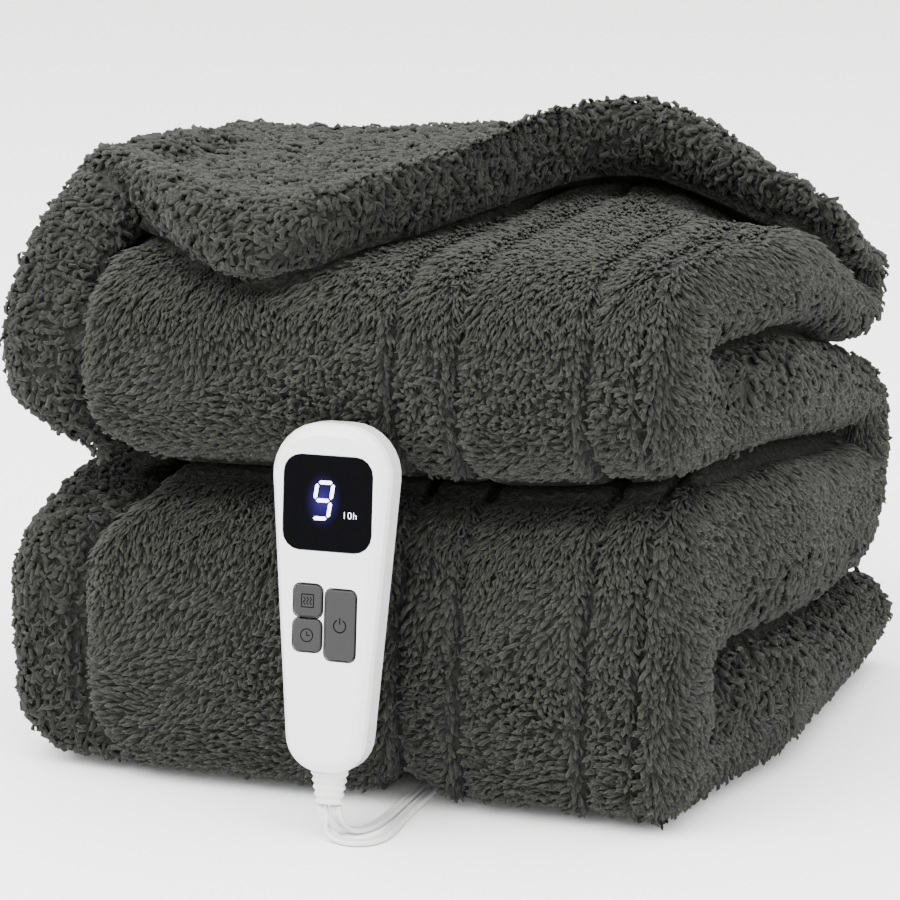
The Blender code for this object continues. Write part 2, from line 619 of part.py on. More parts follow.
def build_handset():
    """Two white shells, a black window, three grey keys and the ribbed strain relief."""
    shell = material("white_shell", (0.83, 0.83, 0.83), 0.28)
    grey = material("grey_key", (0.19, 0.19, 0.19), 0.45)
    black = material("black_window", (0.006, 0.006, 0.007), 0.08)
    soft_white = material("white_relief", (0.78, 0.78, 0.77), 0.45)

    front = add_object(
        "handset_front", stacked("handset_front", handset_outline, FRONT_SHELL, handset_placement()), shell, 25
    )
    behind = [(inset, -height) for inset, height in BACK_SHELL]
    back = add_object(
        "handset_back", stacked("handset_back", handset_outline, behind, handset_placement()), shell, 25
    )
    apply_boolean(front, pocket("window_pocket", WINDOW, GAP, FACE - WINDOW_THICK - GAP), "DIFFERENCE")
    seat = ((0, FACE - WINDOW_THICK), (0, FACE))
    window = stacked(
        "display_window",
        lambda inset: box_outline(WINDOW["size"], WINDOW["corner"], inset, 5),
        seat,
        handset_placement(*WINDOW["at"]),
    )
    add_object("display_window", window, black, 25)
    for name, key in KEYS.items():
        apply_boolean(front, pocket(name + "_pocket", key, KEY_CLEARANCE, FACE - KEY_POCKET), "DIFFERENCE")
        # each key slides into the face, along its object's own Z
        profile = ((0, KEY_PROUD - KEY_THICK), (0, KEY_PROUD - 0.4 * MM), (0.4 * MM, KEY_PROUD))
        mesh = stacked(
            name,
            lambda inset, key=key: box_outline(key["size"], key["corner"], inset),
            profile,
            Matrix.Identity(4),
        )
        add_object(name, mesh, grey, 25).matrix_world = handset_placement(*key["at"], FACE)

    hole_half = tuple(side + GAP for side in RELIEF_TOP_HALF)
    for half_shell in (front, back):
        hole = relief_rings(
            "relief_hole", handset_placement(), RELIEF_INSIDE + GAP, 4 * MM, hole_half, hole_half, 1
        )
        apply_boolean(half_shell, add_object("relief_hole", hole, shell), "DIFFERENCE")
    relief_mesh = relief_rings(
        "handset_relief",
        handset_placement(),
        RELIEF_INSIDE,
        RELIEF_BELOW,
        RELIEF_TOP_HALF,
        RELIEF_END_HALF,
        RELIEF_RIBS,
    )
    add_object("handset_relief", relief_mesh, soft_white, 40)


# ---------------------------------------------------------------- leads
def build_lead(name, route, finish):
    """A lead's loose stretch: a tube on a smooth curve through its route."""
    points = np.array(route) * MM
    length = np.linalg.norm(np.diff(points, axis=0), axis=1).sum()
    points = curve_through(points, round(length / LEAD_POINT_EVERY) + 1)
    data = bpy.data.curves.new(name, "CURVE")
    data.dimensions = "3D"
    data.bevel_depth = LEAD / 2
    data.bevel_resolution = 2
    data.use_fill_caps = True
    spline = data.splines.new("POLY")
    spline.points.add(len(points) - 1)
    for point, place in zip(spline.points, points):
        point.co = (*place, 1)
    data.materials.append(finish)
    obj = bpy.data.objects.new(name, data)
    bpy.context.scene.collection.objects.link(obj)


def build_coil(name, coil, finish, around=28):
    """The outer shape of a wound coil: a turned ring with rounded edges, lying on the floor."""
    half_wide = ((coil["wide"] - 1) * LEAD_PITCH + LEAD) / 2
    high = (coil["high"] - 1) * LAYER_PITCH + LEAD_THICK
    rounds = [0.8 * LEAD_THICK] * 4
    low = 0.1 * MM
    corners = ((-half_wide, low), (half_wide, low), (half_wide, low + high), (-half_wide, low + high))
    profile = outline(corners, rounds, steps=2)
    rings = []
    for k in range(around):
        angle = 2 * math.pi * k / around
        rings.append(
            [
                (
                    coil["middle"][0] + (TURN_RADIUS + x) * math.cos(angle),
                    coil["middle"][1] + (TURN_RADIUS + x) * math.sin(angle),
                    z,
                )
                for x, z in profile
            ]
        )
    mesh = bpy.data.meshes.new(name)
    ids = np.arange(around * len(profile)).reshape(around, len(profile))
    beside, above = np.roll(ids, -1, axis=0), np.roll(ids, -1, axis=1)
    corner = np.roll(beside, -1, axis=1)
    faces = np.stack([ids, above, corner, beside], -1).reshape(-1, 4).tolist()
    mesh.from_pydata(np.array(rings).reshape(-1, 3).tolist(), [], faces)
    outward(mesh)
    add_object(name, mesh, finish, 50)


def moulded_block(name, size, corner, placement, finish):
    """A block with rounded corners and eased ends. Its length runs along the placement's third axis."""
    length, across, high = size
    ease = min(0.8 * MM, 0.5 * corner)
    profile = ((ease, 0), (0, ease), (0, length - ease), (ease, length))
    shape = stacked(name, lambda inset: box_outline((across, high), corner, inset), profile, placement)
    return add_object(name, shape, finish, 30)


def build_leads():
    """Two flat leads from the handset: one to the mains plug, one to the inlet on the throw's hem."""
    flex = material("white_flex", (0.80, 0.80, 0.79), 0.42)
    moulding = material("white_moulding", (0.78, 0.78, 0.77), 0.40)
    metal = material("blade_metal", (0.55, 0.52, 0.46), 0.30, 1.0)
    build_lead("mains_lead", MAINS_ROUTE, flex)
    build_lead("throw_lead", THROW_ROUTE, flex)
    build_lead("mains_tail", MAINS_TAIL, flex)
    build_lead("throw_tail", THROW_TAIL, flex)
    build_coil("mains_coil", MAINS_COIL, flex)
    build_coil("throw_coil", THROW_COIL, flex)

    # the plug lies on the floor beside its coil, its blades to the left
    plug_x, plug_y, plug_z = (value * MM for value in MAINS_TAIL[-1])
    relief_end = plug_x - GAP
    towards_lead = placed((relief_end - PLUG_RELIEF, plug_y, plug_z), (0, 1, 0), (-1, 0, 0))
    mesh = relief_rings(
        "plug_relief", towards_lead, 0.6 * MM, PLUG_RELIEF, (6.2 * MM, 4.6 * MM), (3.4 * MM, 3.2 * MM), 3, 14
    )
    add_object("plug_relief", mesh, moulding, 40)
    body_x = relief_end - PLUG_RELIEF - 0.6 * MM - GAP
    body = placed((body_x, plug_y, plug_z), (0, 1, 0), (0, 0, 1))
    body = body @ Matrix.Rotation(math.pi, 4, "Y")
    moulded_block("plug_body", PLUG_BODY, 5 * MM, body, moulding)
    blade_x = body_x - PLUG_BODY[0] - GAP
    for name, side in (("plug_blade_left", -1), ("plug_blade_right", 1)):
        place = placed((blade_x, plug_y + side * BLADE_APART / 2, plug_z), (0, 1, 0), (0, 0, 1))
        place = place @ Matrix.Rotation(math.pi, 4, "Y")
        moulded_block(name, BLADE, 0.7 * MM, place, metal)

    # the connector lies on the floor behind the hem, pushed into its inlet
    plug_x, plug_y, plug_z = (value * MM for value in THROW_TAIL[-1])
    relief_end = plug_y - GAP
    towards_lead = placed((plug_x, relief_end - CONNECTOR_RELIEF, plug_z), (1, 0, 0), (0, -1, 0))
    mesh = relief_rings(
        "connector_relief",
        towards_lead,
        0.6 * MM,
        CONNECTOR_RELIEF,
        (5.6 * MM, 4.4 * MM),
        (3.3 * MM, 3.1 * MM),
        3,
        14,
    )
    add_object("connector_relief", mesh, moulding, 40)
    body_y = relief_end - CONNECTOR_RELIEF - 0.6 * MM - GAP
    body = placed((plug_x, body_y, plug_z), (1, 0, 0), (0, 0, 1))
    moulded_block("connector", CONNECTOR_BODY, 4 * MM, body, moulding)
    inlet_y = body_y - CONNECTOR_BODY[0] - GAP
    body = placed((plug_x, inlet_y, INLET_BODY[2] / 2 + 2 * GAP), (1, 0, 0), (0, 0, 1))
    moulded_block("inlet", INLET_BODY, 3 * MM, body, moulding)


def clear_scene():
    for obj in list(bpy.data.objects):
        bpy.data.objects.remove(obj, do_unlink=True)


def main():
    clear_scene()
    build_cloth()
    build_handset()
    build_leads()


main()
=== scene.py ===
"""Looks of the folded heated throw: its two piles, its handset with a lit display, and its flat leads.

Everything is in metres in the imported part's own frame: +Z up, +X right along the front folds, +Y back.
"""

import math

import bmesh
import bpy
import numpy as np
from bpy.props import FloatProperty, FloatVectorProperty, PointerProperty
from mathutils import Matrix, Vector
from mathutils.bvhtree import BVHTree


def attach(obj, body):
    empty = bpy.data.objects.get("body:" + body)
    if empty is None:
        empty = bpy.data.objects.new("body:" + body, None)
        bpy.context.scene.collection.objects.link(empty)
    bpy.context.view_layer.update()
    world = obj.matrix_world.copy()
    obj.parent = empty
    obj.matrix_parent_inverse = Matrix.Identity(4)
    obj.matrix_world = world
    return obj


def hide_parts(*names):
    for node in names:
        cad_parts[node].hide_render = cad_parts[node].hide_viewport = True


bl_info = {
    "name": "Folded heated throw",
    "version": (1, 0, 0),
    "blender": (4, 5, 0),
    "location": "View3D > Sidebar > Heated throw",
    "description": "Builds the piles, handset details, leads and studio of a folded heated throw",
    "category": "Object",
}

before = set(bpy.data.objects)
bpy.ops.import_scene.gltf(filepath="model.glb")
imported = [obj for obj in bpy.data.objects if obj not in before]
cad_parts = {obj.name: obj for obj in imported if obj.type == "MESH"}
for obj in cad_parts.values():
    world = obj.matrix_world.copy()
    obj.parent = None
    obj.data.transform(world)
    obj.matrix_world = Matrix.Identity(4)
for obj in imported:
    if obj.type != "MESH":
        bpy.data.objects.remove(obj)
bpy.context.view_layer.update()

MM = 0.001

# ---------------------------------------------------------------- sizes of the folded cloth, as in its solids
LEFT, RIGHT = -160 * MM, 160 * MM
FRONT, BACK = -146 * MM, 127 * MM
LAYER_GAP = 2 * MM
LAYERS = (
    # bottom and top of each deep layer
    (0 * MM, 62 * MM),
    (64 * MM, 126 * MM),
    (129 * MM, 176 * MM),
    (178 * MM, 221 * MM),
)
CLOTH_TOP = LAYERS[3][1]
MIDDLE_CREASE = LAYERS[1][1]
FLAP_THICK = 23 * MM
FRONT_FOLD_DEPTH = 62 * MM
BACK_FOLD_DEPTH = 40 * MM
TOP_FOLD_DEPTH = 32 * MM
FREE_END_DEPTH = 14 * MM
FOLD_SQUARENESS = 2.4
RESTING_SQUARENESS = 5.0
END_SQUARENESS = 2.3
LEFT_END_ROUND = 21 * MM
RIGHT_END_ROUND = 27 * MM
SEAMS = (22 * MM, 48 * MM, 100 * MM, 128 * MM)
SEAM_HALF_WIDTH = 5 * MM
SEAM_DEPTH = 3 * MM
BAND_WIDTH = 42 * MM
BAND_SET_BACK = 8 * MM
BAND_GROOVE = 5 * MM
BAND_TUCK = 18 * MM
BAND_FLOOR_FADE = 28 * MM
BACK_BAND = 0.15
BULGE_ROUND = 16 * MM
TUNNEL_X = 24.2 * MM
TUNNEL_HALF_FLAT = 9 * MM
TUNNEL_HALF_WIDTH = 15.5 * MM
TUNNEL_HEIGHT = 7.5 * MM
TUNNEL_FADE = 45 * MM
# how far the cloth settles: upwards, downwards, in from its sides, and to and fro at the front
RIGHT_LIFT = 9 * MM
BACK_RIGHT_SINK = 38 * MM
LEFT_SINK, BACK_LEFT_SINK = 4 * MM, 3 * MM
LOW_RIGHT_PRESS = 12 * MM
TOP_DIP = 2.5 * MM
RIGHT_DRAWN_IN, TOP_DRAWN_IN = 18 * MM, 4 * MM
CREASE_WAIST, FLOOR_WAIST = 22 * MM, 12 * MM
LEFT_DRAWN_IN = 1.5 * MM
FRONT_WAVE, RIGHT_SET_BACK = 2.5 * MM, 4 * MM
FLAP_EDGE = MM * np.array((
    # x, y, lift, roll
    (-160, -56, 0, 15),
    (-139, -66, 0, 15),
    (-107, -98, 0, 15),
    (-78, -127, 0, 15),
    (-52, -140, 0, 15),
    (-30, -139, 0, 15),
    (-10, -118, 0, 15),
    (4, -86, 1, 15),
    (14, -46, 3, 15),
    (24, -2, 5, 16),
    (34, 34, 6, 16),
    (50, 54, 5, 17),
    (74, 56, 5, 18),
    (100, 48, 7, 18),
    (137, 40, 4, 16),
    (160, 44, 0, 14),
))
SHOULDER = MM * np.array((
    # x, y, z, half width, half thickness
    (-128, 72, 234, 17, 9),
    (-133, 14, 237, 25, 15),
    (-135, -50, 233, 25, 16),
    (-138, -94, 215, 22, 15),
    (-139, -118, 187, 21, 15),
    (-133, -124, 160, 19, 15),
    (-121, -114, 139, 13, 10),
))

# ---------------------------------------------------------------- sizes of the handset, as in its solids
HANDSET_BASE = (6.6 * MM, -175.0 * MM, 26.2 * MM)
HANDSET_LEAN = 7.5
HANDSET_TILT = 0.9
FACE = 9.6 * MM
WINDOW_MIDDLE = (0 * MM, 106.3 * MM)
DIGIT_MIDDLE = (WINDOW_MIDDLE[0] - 2.0 * MM, WINDOW_MIDDLE[1] + 1.1 * MM)
DIGIT_HALF_WIDE, DIGIT_HALF_TALL, SEGMENT_WIDTH, SEGMENT_GAP = 3.3 * MM, 7.0 * MM, 1.45 * MM, 0.5 * MM
DIGIT_SLANT = 0.15
GLOW_REACH = (8 * MM, 11.5 * MM)
HOURS_MIDDLE = (WINDOW_MIDDLE[0] + 9.3 * MM, WINDOW_MIDDLE[1] - 4.2 * MM)
HOURS_TALL = 3.9 * MM
KEY_PROUD = 0.6 * MM
KEYS = {
    # body, place on the face across and up, and size across and up
    "key_heat": ("heat_key", -7.0 * MM, 68.1 * MM, 11.4 * MM, 12.3 * MM),
    "key_timer": ("timer_key", -7.0 * MM, 54.6 * MM, 11.4 * MM, 12.3 * MM),
    "key_power": ("power_key", 6.6 * MM, 59.4 * MM, 12.2 * MM, 27.2 * MM),
}
RIM_OUT = 0.55 * MM
RIM_ROUND = 3.0 * MM
RIM_WIDTH = 0.42 * MM
SYMBOL_HALF = 2.5 * MM

# ---------------------------------------------------------------- the leads: routes and tails in millimetres
LEAD_WIDTH = 4.8 * MM
LEAD_THICK = 2.4 * MM
LEAD_PITCH = 5.0 * MM
LAYER_PITCH = 2.5 * MM
LEAD_ON_FLOOR = 1.35 * MM
TURN_RADIUS = 28.5 * MM
MAINS_ROUTE = (
    (9.6, -176.8, 12.9),
    (9.9, -176.8, 10.2),
    (11.0, -176.0, 6.8),
    (12.9, -174.2, 4.3),
    (15.9, -170.9, 2.8),
    (18.6, -166.7, 2.5),
    (20.4, -160.3, 2.5),
    (21.3, -148.0, 2.5),
    (21.4, -130.0, 2.5),
    (21.4, -60.0, 2.5),
    (21.4, 0.0, 2.5),
    (21.4, 60.0, 2.5),
    (21.4, 120.0, 2.5),
    (21.4, 152.6, 2.5),
)
THROW_ROUTE = (
    (4.0, -176.8, 12.9),
    (4.3, -177.2, 10.6),
    (5.5, -178.1, 7.3),
    (7.7, -179.6, 4.7),
    (11.5, -181.8, 2.8),
    (17.0, -183.6, 2.5),
    (22.0, -182.8, 2.5),
    (26.0, -179.7, 2.5),
    (28.1, -174.6, 2.5),
    (28.3, -163.0, 2.5),
    (27.4, -148.0, 2.5),
    (27.0, -130.0, 2.5),
    (27.0, -60.0, 2.5),
    (27.0, 0.0, 2.5),
    (27.0, 60.0, 2.5),
    (27.0, 118.0, 2.5),
    (28.6, 133.0, 2.5),
    (32.0, 146.0, 2.5),
    (33.0, 157.0, 2.5),
)
MAINS_TAIL = ((-36.9, 211.0, 3.2), (-44.0, 211.0, 5.0), (-51.0, 211.0, 6.9), (-58.0, 211.0, 7.0))
THROW_TAIL = (
    (78.7, 202.5, 4.8),
    (90.0, 202.7, 5.4),
    (100.0, 201.6, 6.2),
    (109.0, 198.4, 6.4),
    (115.2, 193.0, 6.4),
    (117.7, 186.6, 6.4),
    (118.0, 180.5, 6.4),
)
MAINS_COIL = dict(middle=(-17.1 * MM, 172.5 * MM), wide=5, start=0.0, way=1, turns=8.25, layers=2)
THROW_COIL = dict(middle=(61.5 * MM, 174 * MM), wide=1, start=math.pi, way=-1, turns=2.25, layers=3)
LEADS = (
    # lead, route, coil, tail, far end, and the nodes that its end carries
    ("mains", MAINS_ROUTE, MAINS_COIL, MAINS_TAIL, "plug",
     ("plug_relief", "plug_body", "plug_blade_left", "plug_blade_right")),
    ("throw", THROW_ROUTE, THROW_COIL, THROW_TAIL, "connector", ("connector_relief", "connector")),
)

# ---------------------------------------------------------------- shapes of the locks and the curls
LOCK_RINGS, CURL_RINGS = 2, 3
TUFTS = {
    # rings: (how far along the tuft each ring and the tip lie, share of its half width at each ring)
    LOCK_RINGS: ((0.0, 0.7, 1.0), (0.8, 1.0)),
    CURL_RINGS: ((0.0, 0.4, 0.78, 1.0), (0.8, 1.0, 0.92)),
}
SOFTNESS = 0.4
RUN_STEPS, FOLD_STEPS, FLAP_STEPS, ROLL_STEPS = 22, 28, 28, 36
SHUT_BULGE = 1.4 * MM
MOST_LOCKS, MOST_CURLS = 19000, 12000
# least and most of a tuft's own angles in degrees, and of its sizes as shares of the set ones
CURL_LIFT, CURL_BOW, CURL_TURN = (16, 34), (26, 44), (20, 75)
CURL_LENGTHS, CURL_WIDTHS, CURL_ROOTS = (0.7, 1.2), (0.75, 1.2), (0.85, 1.12)
LOCK_BOW = (10, 30)
LOCK_LENGTHS, LOCK_WIDTHS, LOCK_ROOTS = (0.7, 1.35), (0.7, 1.2), (0.88, 1.12)
PILE_REGIONS = ("first_layer", "lower_fold", "back_fold", "upper_fold", "fourth_layer", "flap")

# ---------------------------------------------------------------- the studio
CAMERA_PLACE, CAMERA_TURN = (0.5015, -1.378, 0.4686), (77, 0, 20)
CAMERA_LENS, CAMERA_SHIFT = 140, (-0.0189, -0.0378)
FLOOR_HALF = 6.0
LAMPS = {
    # place, and width and height
    "key": ((-0.9, -1.3, 1.7), (1.4, 1.4)),
    "top": ((0.1, -0.3, 2.6), (3.0, 3.0)),
    "strip": ((1.5, -0.9, 0.5), (0.25, 1.3)),
}


# ---------------------------------------------------------------- small helpers
def smooth(t):
    """0 below t=0, 1 above t=1, and the cubic 3t^2 - 2t^3 between."""
    t = np.clip(t, 0.0, 1.0)
    return t * t * (3 - 2 * t)


def bell(t):
    """exp(-t^2)."""
    return np.exp(-np.square(t))


def rounded(inward, squareness):
    """(1 - t^s)^(1/s), for t clipped to 0..1: the side of a superellipse."""
    return (1 - np.clip(inward, 0, 1) ** squareness) ** (1 / squareness)


def unit(vectors):
    """Each vector over its own length."""
    return vectors / np.maximum(np.linalg.norm(vectors, axis=-1, keepdims=True), 1e-12)


def linked(name, data):
    """A new object of a mesh, camera or light, at the scene's origin."""
    obj = bpy.data.objects.new(name, data)
    bpy.context.scene.collection.objects.link(obj)
    return obj


def mesh_object(name, points, faces, smooth_shading=True):
    """A mesh object at the origin from an (N, 3) array of points and an (M, k) array of faces of one size."""
    points, faces = np.asarray(points, np.float32), np.asarray(faces, np.int32)
    mesh = bpy.data.meshes.new(name)
    mesh.vertices.add(len(points))
    mesh.vertices.foreach_set("co", points.ravel())
    mesh.loops.add(faces.size)
    mesh.loops.foreach_set("vertex_index", faces.ravel())
    mesh.polygons.add(len(faces))
    mesh.polygons.foreach_set("loop_start", np.arange(0, faces.size, faces.shape[1], dtype=np.int32))
    mesh.update(calc_edges=True)
    if smooth_shading:
        mesh.shade_smooth()
    return linked(name, mesh)


def closed_object(name, points, faces, smooth_shading):
    """A mesh object from lists of points and faces of any size, its faces turned outwards."""
    mesh = bpy.data.meshes.new(name)
    mesh.from_pydata(points, [], faces)
    work = bmesh.new()
    work.from_mesh(mesh)
    bmesh.ops.recalc_face_normals(work, faces=work.faces)
    work.to_mesh(mesh)
    work.free()
    if smooth_shading:
        mesh.shade_smooth()
    return linked(name, mesh)


def lofted_object(name, rings):
    """A closed skin through rings of equal, even counts: quads between neighbouring rings, and each end
    closed by quads from one half of its ring across to the other."""
    rings = np.asarray(rings, float)
    count, around = rings.shape[:2]
    faces = grid_faces(count, around).tolist()
    ids = np.arange(count * around).reshape(count, around).tolist()
    half = around // 2
    for ring in (ids[0], ids[-1]):
        faces += [[ring[0], ring[1], ring[-1]], ring[half - 1 : half + 2]]
        faces += [[ring[k], ring[k + 1], ring[-k - 1], ring[-k]] for k in range(1, half - 1)]
    return closed_object(name, rings.reshape(-1, 3).tolist(), faces, True)


def table_column(rows, column, x):
    """One column of a table against its first, by a cubic through its rows with central slopes."""
    slopes = np.gradient(rows[:, column], rows[:, 0])
    k = np.clip(np.searchsorted(rows[:, 0], x) - 1, 0, len(rows) - 2)
    width = rows[k + 1, 0] - rows[k, 0]
    t = np.clip((x - rows[k, 0]) / width, 0, 1)
    return (
        rows[k, column] * (1 + 2 * t) * (1 - t) ** 2
        + rows[k + 1, column] * t**2 * (3 - 2 * t)
        + width * slopes[k] * t * (1 - t) ** 2
        - width * slopes[k + 1] * t**2 * (1 - t)
    )


def gone_by(points, power=1.0):
    """The way gone to each point of a line: the sum of its steps' lengths, each to a power."""
    return np.concatenate([[0], np.cumsum(np.linalg.norm(np.diff(points, axis=0), axis=1) ** power)])


def curve_through(points, count):
    """Evenly spaced points on the centripetal Catmull-Rom curve through a route's own points."""
    route = np.asarray(points, float)
    route = np.vstack([2 * route[0] - route[1], route, 2 * route[-1] - route[-2]])
    knots = gone_by(route, 0.5)
    fine = []
    for i in range(1, len(route) - 2):
        t = np.linspace(knots[i], knots[i + 1], 24, endpoint=i == len(route) - 3)[:, None]
        p, k = route[i - 1 : i + 3], knots[i - 1 : i + 3]
        a = [((k[j + 1] - t) * p[j] + (t - k[j]) * p[j + 1]) / (k[j + 1] - k[j]) for j in range(3)]
        b = [((k[j + 2] - t) * a[j] + (t - k[j]) * a[j + 1]) / (k[j + 2] - k[j]) for j in range(2)]
        fine.append(((k[2] - t) * b[0] + (t - k[1]) * b[1]) / (k[2] - k[1]))
    fine = np.vstack(fine)
    along = gone_by(fine)
    even = np.linspace(0, along[-1], count)
    return np.stack([np.interp(even, along, fine[:, axis]) for axis in range(fine.shape[1])], -1)


def eased(points, rounds):
    """A route with its points moved towards their neighbours' mean, again and again, its ends held."""
    points = np.array(points, float)
    for _ in range(rounds):
        points[1:-1] = 0.5 * points[1:-1] + 0.25 * (points[:-2] + points[2:])
    return points


def swirl(points, scale, seed):
    """A smooth field from -1 to 1: the mean of five sines along fixed random directions, scale apart."""
    rng = np.random.default_rng(seed)
    ways = unit(rng.normal(size=(5, 3))) * rng.uniform(0.7, 1.5, (5, 1)) * 2 * math.pi / scale
    return np.sin(points @ ways.T + rng.uniform(0, 6.3, 5)).mean(-1) * 1.6


# ---------------------------------------------------------------- shader node groups and materials
def new_group(name, inputs, outputs):
    """An empty shader node group with these sockets: (name, socket type, default)."""
    group = bpy.data.node_groups.new(name, "ShaderNodeTree")
    for label, kind, value in inputs:
        socket = group.interface.new_socket(label, in_out="INPUT", socket_type=kind)
        if value is not None:
            socket.default_value = value
    for label, kind in outputs:
        group.interface.new_socket(label, in_out="OUTPUT", socket_type=kind)
    return group, group.nodes.new("NodeGroupInput"), group.nodes.new("NodeGroupOutput")


def feed(tree, sockets, values):
    """Link each socket to an output, or set it to a plain value."""
    for socket, value in zip(sockets, values):
        if isinstance(value, bpy.types.NodeSocket):
            tree.links.new(value, socket)
        else:
            socket.default_value = value


def math_node(tree, operation, first, second=0.0, clamp=False):
    """A Math node fed by sockets or numbers. Returns its output."""
    node = tree.nodes.new("ShaderNodeMath")
    node.operation = operation
    node.use_clamp = clamp
    feed(tree, node.inputs, (first, second))
    return node.outputs[0]


def plus(tree, first, second):
    """The sum of sockets or numbers."""
    return math_node(tree, "ADD", first, second)


def times(tree, first, *others):
    """The product of sockets or numbers, one Math node after another."""
    for other in others:
        first = math_node(tree, "MULTIPLY", first, other)
    return first


def vector_node(tree, operation, *values):
    """A Vector Math node fed by sockets or vectors. Returns its outputs."""
    node = tree.nodes.new("ShaderNodeVectorMath")
    node.operation = operation
    feed(tree, node.inputs, values)
    return node.outputs


def mixed(tree, share, first, second, blend="MIX"):
    """A Mix node for colours, fed by sockets or RGBA tuples. Returns its output."""
    node = tree.nodes.new("ShaderNodeMix")
    node.data_type = "RGBA"
    node.blend_type = blend
    feed(tree, (node.inputs[0], node.inputs[6], node.inputs[7]), (share, first, second))
    return node.outputs[2]


def noise(tree, scale, detail=2.0, rough=0.5, stretch=(1, 1, 1)):
    """Noise on Object coordinates, in metres, with its cells stretched along each axis."""
    place = tree.nodes.new("ShaderNodeTexCoord")
    mapping = tree.nodes.new("ShaderNodeMapping")
    mapping.inputs["Scale"].default_value = stretch
    texture = tree.nodes.new("ShaderNodeTexNoise")
    texture.inputs["Scale"].default_value = scale
    texture.inputs["Detail"].default_value = detail
    texture.inputs["Roughness"].default_value = rough
    tree.links.new(place.outputs["Object"], mapping.inputs["Vector"])
    tree.links.new(mapping.outputs["Vector"], texture.inputs["Vector"])
    return texture.outputs["Fac"]


def surface(name, colour, roughness, **constants):
    """A Principled material whose constants are set on the shader's own sockets. Returns material, shader."""
    made = bpy.data.materials.new(name)
    made.use_nodes = True
    shader = made.node_tree.nodes["Principled BSDF"]
    shader.inputs["Base Color"].default_value = (*colour, 1)
    shader.inputs["Roughness"].default_value = roughness
    for label, value in constants.items():
        shader.inputs[label.replace("_", " ").title().replace("Ior", "IOR")].default_value = value
    return made, shader


def bumped(tree, shader, height, strength, distance):
    """Feed a height into the shader's normal."""
    bump = tree.nodes.new("ShaderNodeBump")
    bump.inputs["Strength"].default_value = strength
    bump.inputs["Distance"].default_value = distance
    tree.links.new(height, bump.inputs["Height"])
    tree.links.new(bump.outputs["Normal"], shader.inputs["Normal"])


def pile_group():
    """The colour of a tuft: painted shade at its root, full at its tip, painted shade too where the cloth is
    shut in and beside the seams, each tuft a little lighter or darker than the next, and patches of the cloth
    a little lighter or darker too. It also gives the fibres' height."""
    if "pile shade" in bpy.data.node_groups:
        return bpy.data.node_groups["pile shade"]
    group, given, made = new_group(
        "pile shade",
        (
            ("Colour", "NodeSocketColor", (0.1, 0.1, 0.1, 1)),
            ("Root", "NodeSocketFloat", 0.2),
            ("Spread", "NodeSocketFloat", 0.3),
        ),
        (("Colour", "NodeSocketColor"), ("Height", "NodeSocketFloat")),
    )
    tuft = group.nodes.new("ShaderNodeAttribute")
    tuft.attribute_name = "tuft"
    split = group.nodes.new("ShaderNodeSeparateColor")
    group.links.new(tuft.outputs["Color"], split.inputs["Color"])
    along, chance, open_share = split.outputs[0], split.outputs[1], split.outputs[2]
    root = given.outputs["Root"]
    # painted shade: each tuft grows darker from its tip down to its root
    rise, rest = math_node(group, "POWER", along, 0.8), math_node(group, "SUBTRACT", 1.0, root)
    lit = plus(group, times(group, rise, rest), root)
    apart = plus(group, times(group, math_node(group, "SUBTRACT", chance, 0.5), given.outputs["Spread"]), 1.0)
    patches = plus(group, times(group, noise(group, 22, 2), 0.36), 0.82)
    strand = group.nodes.new("ShaderNodeCombineXYZ")
    values = (times(group, tuft.outputs["Alpha"], 13), times(group, along, 2.2), times(group, chance, 60))
    feed(group, strand.inputs, values)
    streak = group.nodes.new("ShaderNodeTexNoise")
    streak.inputs["Scale"].default_value = 1.0
    group.links.new(strand.outputs[0], streak.inputs["Vector"])
    fuzz = plus(group, noise(group, 700, 3), streak.outputs["Fac"])
    speckle = plus(group, times(group, fuzz, 1.2), -0.2)
    # open_share carries painted shade where the cloth is shut in and beside the seams
    shade = times(group, lit, apart, patches, open_share, speckle)
    grey = group.nodes.new("ShaderNodeCombineColor")
    feed(group, grey.inputs, (shade, shade, shade))
    colour = mixed(group, 1.0, given.outputs["Colour"], grey.outputs[0], "MULTIPLY")
    feed(group, made.inputs, (colour, fuzz))
    return group


def pile_material(name, colour, root, spread):
    """Matt fibres with a soft sheen."""
    made, shader = surface(name, colour, 0.9, sheen_weight=0.08, sheen_roughness=0.5, specular_ior_level=0.1)
    tree = made.node_tree
    shade = placed(tree, pile_group(), Colour=(*colour, 1), Root=root, Spread=spread)
    tree.links.new(shade["Colour"], shader.inputs["Base Color"])
    bumped(tree, shader, shade["Height"], 0.8, 0.7 * MM)
    return made


def grain_group():
    """Fine moulded grain and faint handling marks: a height, and a roughness about the given one."""
    if "moulded grain" in bpy.data.node_groups:
        return bpy.data.node_groups["moulded grain"]
    group, given, made = new_group(
        "moulded grain",
        (("Roughness", "NodeSocketFloat", 0.4), ("Scale", "NodeSocketFloat", 1.0)),
        (("Roughness", "NodeSocketFloat"), ("Height", "NodeSocketFloat")),
    )
    marks = times(group, math_node(group, "SUBTRACT", noise(group, 60, 3), 0.5), 0.12)
    height = times(group, noise(group, 2200, 1), given.outputs["Scale"])
    feed(group, made.inputs, (plus(group, given.outputs["Roughness"], marks), height))
    return group


def placed(tree, group, **values):
    """A node group placed in a material with its own values. Returns its outputs."""
    node = tree.nodes.new("ShaderNodeGroup")
    node.node_tree = group
    for label, value in values.items():
        node.inputs[label].default_value = value
    return node.outputs


def plastic(name, colour, roughness, grain=0.2, **constants):
    """Moulded plastic with a fine grain."""
    made, shader = surface(name, colour, roughness, **constants)
    tree = made.node_tree
    moulded = placed(tree, grain_group(), Roughness=roughness)
    tree.links.new(moulded["Roughness"], shader.inputs["Roughness"])
    bumped(tree, shader, moulded["Height"], grain, 0.02 * MM)
    return made


def dress(obj, made):
    """Give an object one material."""
    obj.data.materials.clear()
    obj.data.materials.append(made)


